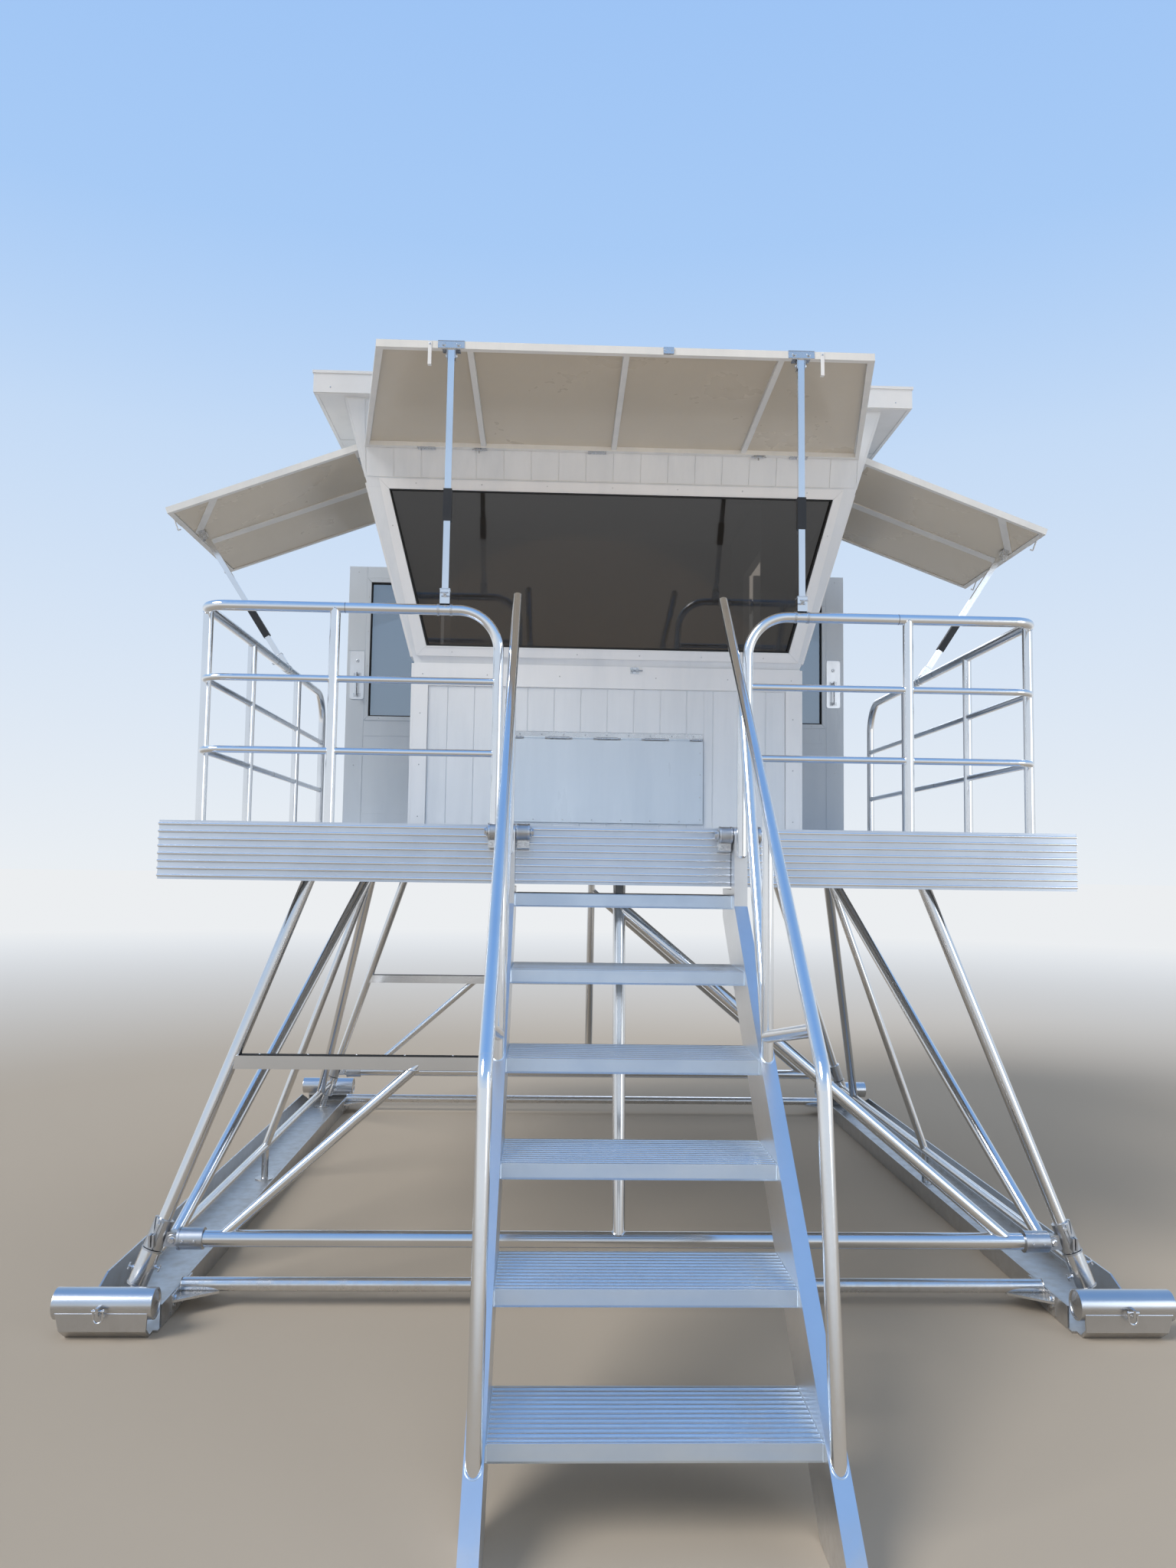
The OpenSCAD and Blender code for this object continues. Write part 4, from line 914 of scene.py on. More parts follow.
def fork(place, u, v):
    """Two ears under the rim with their feet, and the pin that goes through them."""
    near, far, ear_in, ear_out, foot_out = v - 0.022, v + 0.022, 0.0175, 0.0215, 0.045
    for e in (-1, 1):
        a, b = sorted((u + e * ear_in, u + e * ear_out))
        block(fork_steel, (a, near, rim_low + hair), (b, far, 0.088), 0.001, place)
        a, b = sorted((u + e * ear_out, u + e * foot_out))
        block(fork_steel, (a, near, rim_low), (b, far, rim_low + 0.003), 0.001, place)
        hex_bolt(fork_steel, on(place, u + e * (ear_out + 0.0001), v, 0.066),
                 way_of(place, e, 0, 0), 0.013, 0.007)


def drop_hook(place, u, long=0.125):
    """A flat bar that hangs from the rim's outer edge and turns up at its end."""
    half, bar_thick = 0.009, 0.0043
    outside = edge + bar_thick
    block(hooks, (u - half, edge, 0.002), (u + half, outside, long), thin_edge, place)
    block(hooks, (u - half, 1.185, long - bar_thick), (u + half, 1.2040, long), thin_edge, place)
    screw(shutter_steel, on(place, u, outside, 0.018), way_of(place, 0, 1, 0))


prop_x, front_prop_v, side_prop_u, side_prop_v = 0.87, 1.176, -0.197, 1.130
for side in (-1, 1):
    edge_plate(front_under, side * prop_x, 0.066)
    fork(front_under, side * prop_x, front_prop_v)
    drop_hook(front_under, side * 0.975)
    place = side_under[side]
    fork(place, side_prop_u, side_prop_v)
    for u in (-0.52, 0.47):
        drop_hook(place, u, 0.10)
    for u in (-0.45, 0.45):
        edge_plate(place, u, 0.040)
latch_out = deep + 0.009
block(shutter_steel, (0.180, edge, 0.001), (0.232, latch_out, 0.037), 0.001, front_under)
for u in (0.190, 0.222):
    screw(shutter_steel, on(front_under, u, latch_out, 0.019), way_of(front_under, 0, 1, 0), 0.004)
piece("shutter_edge_plates", shutter_steel, steel_finish)
piece("shutter_forks", fork_steel, steel_finish)
piece("shutter_drop_hooks", hooks, trim_finish)

# %% [markdown]
# ## The roots of the shutters
# A shutter swings on butt hinges along its upper edge, and small barrel bolts beside them
# lock it. A hinge is a row of knuckles with a leaf. The knuckles are five short rods and not
# one long one, because the gaps between them are what makes it read as a hinge.

# %% Hinges and barrel bolts at the root of the shutters
root_steel = bmesh.new()


def butt_hinge(place, u, half=0.055):
    """Five knuckles along the hinge line, with a leaf on the rim and its screws."""
    leaf_top, knuckles, knuckle_gap = 0.0404, 5, 0.0006
    block(root_steel, (u - half, 0.003, 0.0382), (u + half, 0.029, leaf_top), 0.0006, place)
    step = 2 * half / knuckles
    for k in range(knuckles):
        start = u - half + k * step
        bar(root_steel, place, (start + knuckle_gap, -0.0004, 0.0410),
            (start + step - knuckle_gap, -0.0004, 0.0410), 0.0052)
    for offset in (-0.7 * half, 0, 0.7 * half):
        face_screw(root_steel, place, u + offset, 0.019, leaf_top, 0.0038)


def barrel_bolt(place, u):
    """A plate, a sliding bar with its knob, and two straps over the bar."""
    middle = 0.0455
    block(root_steel, (u - 0.035, 0.033, 0.0306), (u + 0.035, 0.058, 0.0330), 0.0006, place)
    bar(root_steel, place, (u - 0.048, middle, 0.0390), (u + 0.042, middle, 0.0390), 0.0045)
    bar(root_steel, place, (u - 0.006, middle, 0.0380), (u - 0.006, middle, 0.0600), 0.0040)
    for strap in (u - 0.024, u + 0.024):
        block(root_steel, (strap - 0.006, 0.038, 0.0325), (strap + 0.006, 0.053, 0.0446), 0.001, place)


for u in (-1.12, -0.10, 1.12):
    butt_hinge(front_under, u)
for u in (-0.80, 0.88):
    barrel_bolt(front_under @ Matrix.Translation((0, -0.026, 0.0080)), u)
for place in side_under.values():
    for u in (-0.5, 0.0, 0.5):
        butt_hinge(place, u)
piece("shutter_hinges_and_bolts", root_steel, steel_finish)

# %% [markdown]
# ## Windows
# The window boards are mitred at the corners and screwed on, and the dark glass sits in a
# black rubber gasket. The gasket matters more than its size suggests: without it white
# paint would touch dark glass in one line, and the pane would look like a printed rectangle.

# %% The window openings
low_margin, high_margin = 0.092, 0.120
low_v, high_v = low_margin / math.cos(lean), 1.016 / math.cos(lean)
flare_low, flare_high = low_v * math.sin(lean) - low_margin, high_v * math.sin(lean) - high_margin


def front_opening(m):
    """The front window's corners, moved out by m."""
    low, high = cabin_half + flare_low + m, cabin_half + flare_high + m
    return [(-low, low_v - m), (low, low_v - m), (high, high_v + m), (-high, high_v + m)]


def side_opening(m):
    """A side window's corners, moved out by m."""
    low, high = cabin_front - flare_low - m, cabin_front - flare_high - m
    back = door_front - high_margin + m
    return [(low, low_v - m), (back, low_v - m), (back, high_v + m), (high, high_v + m)]


print("front window is", round(2 * front_opening(0)[2][0], 3), "m wide at its top")

# %% Window caps, gaskets and screws
caps, gaskets, cap_screws = bmesh.new(), bmesh.new(), bmesh.new()
cap_low, cap_high, lip_high = 0.0144, 0.0168, 0.0205
for place, opening in ((front_lean, front_opening), (side_lean[-1], side_opening),
                       (side_lean[1], side_opening)):
    mitred(caps, opening(0.0515), opening(-0.0085), place, cap_low, cap_high)
    mitred(caps, opening(-0.0035), opening(-0.0095), place, cap_high, lip_high, 0.001)
    mitred(gaskets, opening(-0.0098), opening(-0.0180), place, -0.0175, 0.0125, 0.002, 0.0)
    screw_ring(cap_screws, opening(0.026), 0.42, place, cap_high, 0.0042)
piece("window_caps", caps, trim_finish)
piece("window_gaskets", gaskets, rubber_finish)
piece("window_screws", cap_screws, steel_finish)

# %% [markdown]
# ## Doors
# Both doors stand open beside the cabin. Each leaf is built up from stiles and rails, with a
# glass light in a frame, a pale back plate and a bent pull. These pieces ride on the door,
# so that they swing with it. The strips are 2 mm proud, and the narrow gaps between them
# draw the joints that show on the real leaf. The sizes come first, then one function for
# each part of a face, because a door has two faces and there are two doors.

# %% The door's sizes, with u from its hinge edge and v from its foot
door_wide, door_tall, door_edge, skin = 0.711, 2.120, 0.002, 0.0022
door_x, door_foot, door_faces = 1.231, 2.205, ((3.455, -1), (3.500, 1))
leaf_top = door_tall - door_edge
hinge_stile, lock_stile, rails = (0.042, 0.138), (0.573, door_wide - door_edge), (0.1395, 0.5715)
strip_spans = [(hinge_stile, door_edge, leaf_top), (lock_stile, door_edge, 1.060),
               (lock_stile, 1.455, leaf_top), (rails, 2.032, leaf_top),
               (rails, 0.790, 0.908), (rails, door_edge, 0.190)]


def light(m):
    """The corners of the door's glass light, moved out by m."""
    return rectangle(0.175 - m, 0.945 - m, 0.536 + m, 1.995 + m)


def rounded(u0, v0, u1, v1, corner):
    """A rectangle with round corners of five points each."""
    outline = []
    for u, v, start in ((u1 - corner, v0 + corner, 270), (u1 - corner, v1 - corner, 0),
                        (u0 + corner, v1 - corner, 90), (u0 + corner, v0 + corner, 180)):
        turned = [math.radians(start + 22.5 * k) for k in range(5)]
        outline += [(u + corner * math.cos(a), v + corner * math.sin(a)) for a in turned]
    return outline


print("strips on a face", len(strip_spans))


# %% The parts of a door's face
def door_skin(place, strips, rubber, steel):
    """One face's strips, and the frame, gasket and screws round its light."""
    frame_high = 0.0062
    for (u0, u1), v0, v1 in strip_spans:
        prism(strips, rectangle(u0, v0, u1, v1), place, skin, 0.0007)
    mitred(strips, light(0.034), light(0.002), place, hair, frame_high, 0.0015)
    mitred(rubber, light(0.0018), light(-0.0060), place, -0.0120, 0.0040, 0.001, 0.0)
    screw_ring(steel, light(0.018), 0.26, place, frame_high, 0.0036)


def door_pull(place, plates, steel, rubber):
    """A back plate, a bent pull on two bolted feet, and a lock with its key slot."""
    u, plate_high, foot_high, reach, lock_v = 0.629, 0.0058, 0.0086, 0.0440, 1.372
    prism(plates, rounded(0.5745, 1.0730, 0.6835, 1.4490, 0.016), place, plate_high, 0.0012)
    for v in (1.1065, 1.2665):
        block(steel, (u - 0.027, v - 0.014, plate_high), (u + 0.027, v + 0.014, foot_high), 0.001, place)
        for e in (-1, 1):
            face_screw(steel, place, u + e * 0.019, v, foot_high, 0.0038)
        bar(steel, place, (u, v, 0.0080), (u, v, reach - 0.001), 0.0072)
    bar(steel, place, (u, 1.0955, reach), (u, 1.2775, reach), 0.0082)
    lathe(steel, [(0, 0), (0.013, 0), (0.013, 0.004), (0.011, 0.006), (0.006, 0.006),
                  (0.005, 0.003), (0, 0.003)], place @ Matrix.Translation((u, lock_v, plate_high)), 20)
    block(rubber, (u - 0.0012, lock_v - 0.005, foot_high), (u + 0.0012, lock_v + 0.005, 0.0094),
          0.0, place)


def door_screws(place, steel):
    """Three screws at each hinge, and six that hold the skin."""
    for share in (0.11, 0.5, 0.89):
        for shift in (-0.028, 0.0, 0.028):
            face_screw(steel, place, 0.020, share * door_tall + shift, hair, 0.0040)
    for u, heights in ((0.085, (0.130, 1.600, 2.075)), (0.640, (0.110, 0.560, 2.075))):
        for v in heights:
            face_screw(steel, place, u, v, skin, 0.0042)


print("door parts ready")

# %% Both doors
for body, side in (("left_door", -1), ("right_door", 1)):
    strips, rubber, steel, plates = bmesh.new(), bmesh.new(), bmesh.new(), bmesh.new()
    for y, out in door_faces:
        place = axes(at(side * door_x, y, door_foot), (side, 0, 0), (0, 0, 1), (0, out, 0))
        door_skin(place, strips, rubber, steel)
        door_pull(place, plates, steel, rubber)
        door_screws(place, steel)
    piece(body + "_strips", strips, shaded_door_finish, body)
    piece(body + "_gasket", rubber, rubber_finish, body)
    piece(body + "_back_plates", plates, plate_finish, body)
    piece(body + "_pull", steel, steel_finish, body)

# %% [markdown]
# ## The hatch and the front wall
# The low hatch between the stair's rails hangs on one long hinge. Screws run down its sides
# and along its foot, more hold the hinge, and a small catch sits under the window. Only the
# hatch's own screws ride on it. Those of the hinge's fixed leaf stay on the wall.

# %% Screws of the hatch and its hinge
hatch_steel, wall_steel = bmesh.new(), bmesh.new()
small, trim_face = 0.0042, 1.704
hatch_face = axes(at(0, 1.699, deck_top), (1, 0, 0), (0, 0, 1), (0, -1, 0))
for side in (-1, 1):
    for v in (0.115, 0.255, 0.395, 0.530):
        face_screw(hatch_steel, hatch_face, side * 0.580, v, 0.0, small)
for k in range(6):
    face_screw(hatch_steel, hatch_face, -0.45 + 0.18 * k, 0.104, 0.0, small)
piece("hatch_screws", hatch_steel, steel_finish, "front_hatch")
for k in range(9):
    screw(wall_steel, at(-0.54 + 0.135 * k, 1.7136, 2.8225), (0, -1, 0), 0.0052)
screw_places = [(1.160, z) for z in (2.30, 2.62, 2.94)] + [(x, 3.185) for x in (0.30, 0.75, 1.15)]
for side in (-1, 1):
    for x, z in screw_places:
        screw(wall_steel, at(side * x, trim_face, z), (0, -1, 0), small)
print("front wall's screws", 9 + 2 * len(screw_places))

# %% The catch under the window
catch_steel = bmesh.new()
catch_high, bolt_high = 0.003, 0.0085
catch = axes(at(0.17, trim_face, 3.2300), (1, 0, 0), (0, 0, 1), (0, -1, 0))
block(catch_steel, (-0.030, -0.020, 0.0), (0.024, 0.020, catch_high), 0.0008, catch)
# The catch's bar and straps share the wall screws' darker cast finish as painted shade round the catch's
# bright plate.
bar(wall_steel, catch, (-0.028, 0, bolt_high), (0.046, 0, bolt_high), 0.0050)
for u in (-0.018, 0.012):
    block(wall_steel, (u - 0.006, -0.009, catch_high - hair), (u + 0.006, 0.009, 0.0160), 0.0015, catch)
    for e in (-1, 1):
        face_screw(catch_steel, catch, u, e * 0.0145, catch_high, 0.0038)
piece("sill_catch", catch_steel, steel_finish)
piece("front_wall_screws", wall_steel, cast_finish)

# %% [markdown]
# ## The roof
# The roof is a shallow box: a painted fascia, a soffit below and a sheet on top. The sheet is
# laid in strips that lap over battens, and the soffit is in panels with narrow cover strips.

# %% Roof strips
roof_strips = bmesh.new()
roof_front, roof_back, sheet_top, strip_half = 1.25, 4.218, 4.9002, 0.022
soffit_low, soffit_high, soffit_half, soffit_w = 4.7640, 4.7677, 1.775, 0.018
for k in range(-2, 3):
    x = k * 0.66
    slab(roof_strips, (x - strip_half, x + strip_half), (roof_front + 0.004, roof_back - 0.004),
         (sheet_top, sheet_top + 0.0028))
inner = soffit_half - soffit_w
for ys in ((1.256, 1.274), (4.196, 4.212)):
    slab(roof_strips, (-soffit_half, soffit_half), ys, (soffit_low, soffit_high))
for side in (-1, 1):
    slab(roof_strips, (side * inner, side * soffit_half), (1.276, 4.194), (soffit_low, soffit_high))
    for y, reach in ((2.0, 1.640), (3.0, 1.25), (3.9, 1.25)):
        slab(roof_strips, (side * inner, side * reach), (y - soffit_w, y + soffit_w),
             (soffit_low + 0.001, soffit_high))
piece("roof_strips", roof_strips, roof_finish)

# %% Roof screws
roof_screws = bmesh.new()
fascia_z, fascia_half, roof_screw = 4.800, 1.7803, 0.0048
for side in (-1, 1):
    for k in range(7):
        screw(roof_screws, at(side * fascia_half, 1.42 + 0.44 * k, fascia_z), (side, 0, 0), roof_screw)
for k in range(9):
    x = -1.68 + 0.42 * k
    screw(roof_screws, at(x, roof_front - lift, fascia_z), (0, -1, 0), roof_screw)
    screw(roof_screws, at(x, roof_back + lift, fascia_z), (0, 1, 0), roof_screw)
piece("roof_screws", roof_screws, steel_finish)

# %% [markdown]
# ## The deck
# The deck is laid with the same ribbed plank as its edges, with the ribs upward as a grip.
# An array modifier could repeat one rib, but the ribs stop at the cabin's walls, so a loop
# asks for each one whether it passes the cabin and lays one bar or two.

# %% Deck ribs and door thresholds
deck_ribs, thresholds = bmesh.new(), bmesh.new()
planks, ribs_each, plank_margin, rib_margin, rib_half_w = 14, 6, 0.045, 0.024, 0.0045
plank_pitch = (deck_long - 2 * plank_margin) / planks
deck_half, past_cabin, last_rib = 2.084, 1.226, 4.215
rib_step = (plank_pitch - 2 * rib_margin) / (ribs_each - 1)
rib_lines = [plank_margin + i * plank_pitch + rib_margin + k * rib_step
             for i in range(planks) for k in range(ribs_each)]
for y in rib_lines:
    if y > last_rib:
        continue
    spans = [(-deck_half, deck_half)]
    if 1.690 < y < 4.172:
        spans = [(-deck_half, -past_cabin), (past_cabin, deck_half)]
    for span in spans:
        slab(deck_ribs, span, (y - rib_half_w, y + rib_half_w),
             (deck_top - 0.0004, deck_top + 0.0018), 0.0006)
for side in (-1, 1):
    slab(thresholds, (side * 1.150, side * past_cabin), (2.795, 3.500),
         (deck_top + hair, deck_top + 0.0060), 0.0020)
piece("deck_grip_ribs", deck_ribs, plank_finish)
piece("door_thresholds", thresholds, steel_finish)

# %% [markdown]
# ## Polished crowns
# Wear has polished the tops of the ribs, along the deck's edge and on the treads, so each
# rib carries a line of light that the plank's dull face does not. Roughness driven by height
# would blur at this scale. A low bar of its own, with the rail's bright finish, keeps the
# line sharp from any distance.


# %% Polished crowns on the deck's edge
def extruded(bm, outline, place, long):
    """A bar with a given (v, w) section, running along the place's first axis."""
    ends = [[bm.verts.new(on(place, u, v, w)) for v, w in outline] for u in (-long / 2, long / 2)]
    count = len(outline)
    for i in range(count):
        j = (i + 1) % count
        bm.faces.new((ends[0][i], ends[0][j], ends[1][j], ends[1][i]))
    bm.faces.new(ends[0][::-1])
    bm.faces.new(ends[1])


crowns, side_crowns = bmesh.new(), bmesh.new()
half_crown = [(0.0050, -0.0004), (0.0048, 0.0006), (0.0032, 0.0016), (0.0010, 0.0021)]
crown = [(-v, w) for v, w in half_crown[:1]] + half_crown + [(-v, w) for v, w in half_crown[:0:-1]]
edge_ribs, first_rib_z, rib_span, crown_long = 8, 1.937, 0.236, deck_long - 0.002
for i in range(edge_ribs):
    z = first_rib_z + rib_span / (edge_ribs - 1) * i
    for y, out in ((0.0, -1), (deck_long, 1)):
        extruded(crowns, crown, axes(at(0, y, z), (1, 0, 0), (0, 0, 1), (0, out, 0)), crown_long)
    for side in (-1, 1):
        middle = at(side * deck_long / 2, deck_long / 2, z)
        extruded(side_crowns, crown, axes(middle, (0, 1, 0), (0, 0, 1), (side, 0, 0)), crown_long)
piece("edge_rib_crowns", crowns, rail_finish)
piece("side_rib_crowns", side_crowns, rail_finish)

# %% Polished crowns on the treads
tread_ribs, tread_half = 12, 0.495
top_tread_y, top_tread_z, going, rise = -0.037, 1.877143, 0.345, 0.312857
treads = [(top_tread_y - going * i, top_tread_z - rise * i, 0.37 if i else 0.28) for i in range(6)]
tread_crowns = bmesh.new()
for y, z, depth in treads:
    lines = [(y + 0.021 + k * (depth - 0.040) / (tread_ribs - 1), z) for k in range(tread_ribs)]
    for line_y, line_z in [(y + 0.0058, z - 0.0030)] + lines:
        extruded(tread_crowns, crown, axes(at(0, line_y, line_z), (1, 0, 0), (0, 1, 0), (0, 0, 1)),
                 2 * tread_half)
piece("tread_rib_crowns", tread_crowns, rail_finish, "stair")

# %% [markdown]
# ## The rack bar
# A flat bar between the legs, at the front and again at the rear, carries a dark wear strip
# with a row of screws. It is a thin slab that lies on the bar, because a stripe of dark
# paint would show no edge.

# %% The rack bar's strip
rack_strip, rack_screws = bmesh.new(), bmesh.new()
leg_lean_y, rack_z = 0.155440, 1.075
rack_y, rack_top, strip_top = leg_lean_y * rack_z, 1.1056, 1.1092
for y in (rack_y, deck_long - rack_y):
    slab(rack_strip, (-1.765, -0.040), (y - 0.017, y + 0.017), (rack_top, strip_top), 0.0008)
    for k in range(8):
        screw(rack_screws, at(-1.68 + 0.225 * k, y, strip_top), (0, 0, 1), 0.0045)
piece("rack_wear_strips", rack_strip, rubber_finish)
piece("rack_screws", rack_screws, steel_finish)

# %% [markdown]
# ## Welds
# The frame is welded aluminium, and a bright bead runs round every joint. For a tube on a
# plate the bead follows the slanted cut, and for a tube on a tube it follows the saddle
# curve, which comes from a quadratic: how far along the branch each line of its surface goes
# before it reaches the main tube.


# %% The curve where a tube meets a plate or a tube
def joint(base, way, radius, normal=None, main=None, main_radius=0.0):
    """Points round a branch tube whose axis starts at base. normal is a plate's, and main is
    the direction of a main tube through base."""
    way = Vector(way).normalized()
    first = way.orthogonal().normalized()
    second = way.cross(first)
    count = 2 * max(10, int(math.pi * radius / 0.0042))
    path = []
    for k in range(count):
        a = math.tau * k / count
        spoke = radius * (math.cos(a) * first + math.sin(a) * second)
        if normal is not None:
            n = Vector(normal)
            share = -spoke.dot(n) / way.dot(n)
        else:
            m = Vector(main).normalized()
            q, w = spoke - spoke.dot(m) * m, way - way.dot(m) * m
            half_b, c = q.dot(w), q.dot(q) - main_radius ** 2
            share = (-half_b + math.sqrt(max(half_b ** 2 - w.dot(w) * c, 0.0))) / w.dot(w)
        path.append(Vector(base) + spoke + share * way)
    return path


def weld(bm, base, way, radius, size=0.0030, **meets):
    """A closed bead round the joint of a tube with what it meets."""
    bead(bm, joint(base, way, radius, **meets), size, Vector(way).normalized())


up_way = Vector((0, 0, 1))
post_weld = joint(at(0, 0, 0), up_way, 0.0249, normal=up_way)
print("points round a post's weld", len(post_weld))

# %% Welds on the rails
rail_z, bar_step, rail_y, rail_x = 3.2346, 0.3482, 0.176, 2.032
rail_r, post_r, bar_r = 0.0254, 0.0249, 0.0167
bar_weld, rail_weld = 0.0022, 0.0024
rail_welds = bmesh.new()


def post_welds(x, y, side, radius, rail_way, bar_ways):
    """Beads at a post's foot, at its bars and, where rail_way is given, under its rail."""
    weld(rail_welds, spot((x, y, deck_top), side), up_way, radius, normal=up_way)
    if rail_way:
        weld(rail_welds, spot((x, y, rail_z), side), -up_way, radius, rail_weld,
             main=rail_way, main_radius=rail_r)
    for level in (1, 2):
        base = spot((x, y, deck_top + level * bar_step), side)
        for way in bar_ways:
            weld(rail_welds, base, way, bar_r, bar_weld, main=up_way, main_radius=radius)


for side in (-1, 1):
    outward, inward, ahead, behind = (side, 0, 0), (-side, 0, 0), (0, -1, 0), (0, 1, 0)
    post_welds(0.606, rail_y, side, rail_r, None, (outward,))
    post_welds(1.396, rail_y, side, post_r, (1, 0, 0), (outward, inward))
    post_welds(rail_x, 0.276, side, post_r, behind, (behind,))
    for y in (1.089, 2.2101):
        post_welds(rail_x, y, side, post_r, behind, (ahead, behind))
    post_welds(rail_x, 3.03, side, rail_r, None, (ahead,))
piece("railing_welds", rail_welds, rail_finish)

# %% Splices in the rails
splices = bmesh.new()
for side in (-1, 1):
    joints = [((1.348, rail_y, rail_z), (1, 0, 0), rail_r), ((rail_x, 1.62, rail_z), (0, 1, 0), rail_r)]
    joints += [((rail_x, 1.62, deck_top + level * bar_step), (0, 1, 0), bar_r) for level in (1, 2)]
    for point, way, r in joints:
        cuff(splices, facing(spot(point, side), way), r - 0.001, r + 0.0003, -0.0011, 0.0011)
piece("rail_splices", splices, rubber_finish)

# %% Where the frame's tubes run
leg_lean_x, leg_foot_x, pad_top, sleeve_top, beam_low = 0.354922, 2.19, 0.0142, 0.268, 1.9298
cross_z, cross_r, cross_end_x, diagonal_z, strut_x = 0.31, 0.0367, 1.8, 1.815, -0.93
cross_y, diagonal_y = leg_lean_y * cross_z, leg_lean_y * diagonal_z
slim_r, stout_r = 0.02415, 0.03015
brace_head, brace_foot, brace_rise = (1.505, 2.057), (2.115466, 0.434), 1.72
middle_y = deck_long / 2


def leg_at(z):
    """A point on the right front leg's axis."""
    return (leg_foot_x - leg_lean_x * z, leg_lean_y * z, z)


print("a leg leans", round(math.degrees(math.atan(leg_lean_x)), 1), "degrees to the side")

# %% Welds on the frame under the deck
frame_welds = bmesh.new()
leg_way, across_way = (-leg_lean_x, leg_lean_y, 1), (1, 0, 0)


def plate_weld(point, way, radius, side=1, end=0):
    """A bead where a tube meets a level plate."""
    weld(frame_welds, spot(point, side, end), way, radius, normal=up_way)


for side, end in corners:
    way = turned_way(leg_way, side, end)
    plate_weld(leg_at(pad_top), way, slim_r, side, end)
    plate_weld(leg_at(beam_low), way, stout_r, side, end)
    sleeve_weld = joint(spot(leg_at(sleeve_top), side, end), way, 0.0312, normal=way)
    bead(frame_welds, sleeve_weld, 0.0024, way)
    brace_way = turned_way((brace_head[0] - brace_foot[0], brace_head[1] - brace_foot[1], brace_rise),
                           side, end)
    plate_weld((*brace_head, beam_low), brace_way, stout_r, side, end)
    weld(frame_welds, spot((1.9668, 0.085, 0.098), side, end), (side, 0, 0), stout_r,
         normal=across_way)
for end in (0, 1):
    lean_way = turned_way((0, leg_lean_y, 1), 1, end)
    diagonal = turned_way((-cross_end_x, diagonal_y - cross_y, diagonal_z - cross_z), 1, end)
    strut = turned_way((strut_x + cross_end_x, rack_y - cross_y, rack_z - cross_z), 1, end)
    for x, way, radius in ((0, lean_way, stout_r), (cross_end_x, diagonal, stout_r),
                           (-cross_end_x, strut, slim_r)):
        weld(frame_welds, spot((x, cross_y, cross_z), 1, end), way, radius,
             main=across_way, main_radius=cross_r)
    plate_weld((0, 0.300, beam_low), lean_way, stout_r, 1, end)
    plate_weld((-0.964686, 0.162357, 1.0444), strut, slim_r, 1, end)
    weld(frame_welds, spot((0, diagonal_y, diagonal_z), 1, end), -diagonal, stout_r,
         main=lean_way, main_radius=0.0306)
for side in (-1, 1):
    post = turned_way((brace_head[0] - brace_foot[0], 0, brace_rise), side)
    plate_weld((brace_head[0], middle_y, beam_low), post, slim_r, side)
    plate_weld((brace_foot[0], middle_y, pad_top), up_way, 0.02115, side)
    weld(frame_welds, spot((brace_foot[0], middle_y, 0.21), side), -up_way, 0.02115,
         main=(0, 1, 0), main_radius=0.0244)
piece("frame_welds", frame_welds, frame_finish)

# %% Welds on the stair
stair_welds = bmesh.new()
stair_x, tread_end_x, weld_step = 0.53, 0.4982, 0.004
slope_normal = Vector((0, -0.67178, 0.74077))


def stringer_z(y):
    """The height of the stringer's upper edge, where the handrail's posts stand."""
    return top_tread_z + rise / going * (y - top_tread_y) + 0.0137


for side in (-1, 1):
    for y, way in ((-0.727, up_way), (-1.82065, Vector((0, -0.03, 1)))):
        weld(stair_welds, spot((stair_x, y, stringer_z(y)), side), way, slim_r, normal=slope_normal)
    for y, z, depth in treads:
        x = side * tread_end_x
        front = [at(x, y - 0.001, z - 0.054 + 0.0035 * k) for k in range(15)]
        steps = int((depth - 0.02) / weld_step)
        top = [at(x, y + 0.010 + weld_step * k, z - 0.0024) for k in range(steps)]
        bead(stair_welds, front, 0.0034, Vector((1, 0, 0)), closed=False)
        bead(stair_welds, top, 0.0030, Vector((1, 0, 0)), closed=False)
piece("stair_welds", stair_welds, tread_finish, "stair")

# %% [markdown]
# ## Fittings on the frame
# A cast collar clamps each leg, and a swivel disc on it takes the cross tube. Socket screws
# close the collar's strip, pins go through the jack sleeve below, and a big bolt holds the
# disc. Without them the castings would be smooth lumps. They stand on leaning legs, so each
# is placed by the leg's own axis and the way that faces outwards from it.

# %% Where a corner's fittings sit
collar_z, swivel_x, tee_x = 0.332, 2.002, 1.924
cast_strips, frame_bolts, jack_pins = bmesh.new(), bmesh.new(), bmesh.new()


def collar_parts(side, end, way, outward):
    """The split collar's two strips and its screws."""
    across = way.cross(outward)
    strip = axes(spot(leg_at(collar_z), side, end) + outward * 0.0425, across, way, outward)
    for u in (-0.0075, 0.0075):
        block(cast_strips, (u - 0.0065, -0.058, -0.004), (u + 0.0065, 0.058, 0.004), 0.0015, strip)
    for v in (-0.042, 0.042):
        hex_bolt(frame_bolts, on(strip, -0.0075, v, 0.0035), outward, 0.013, 0.007)


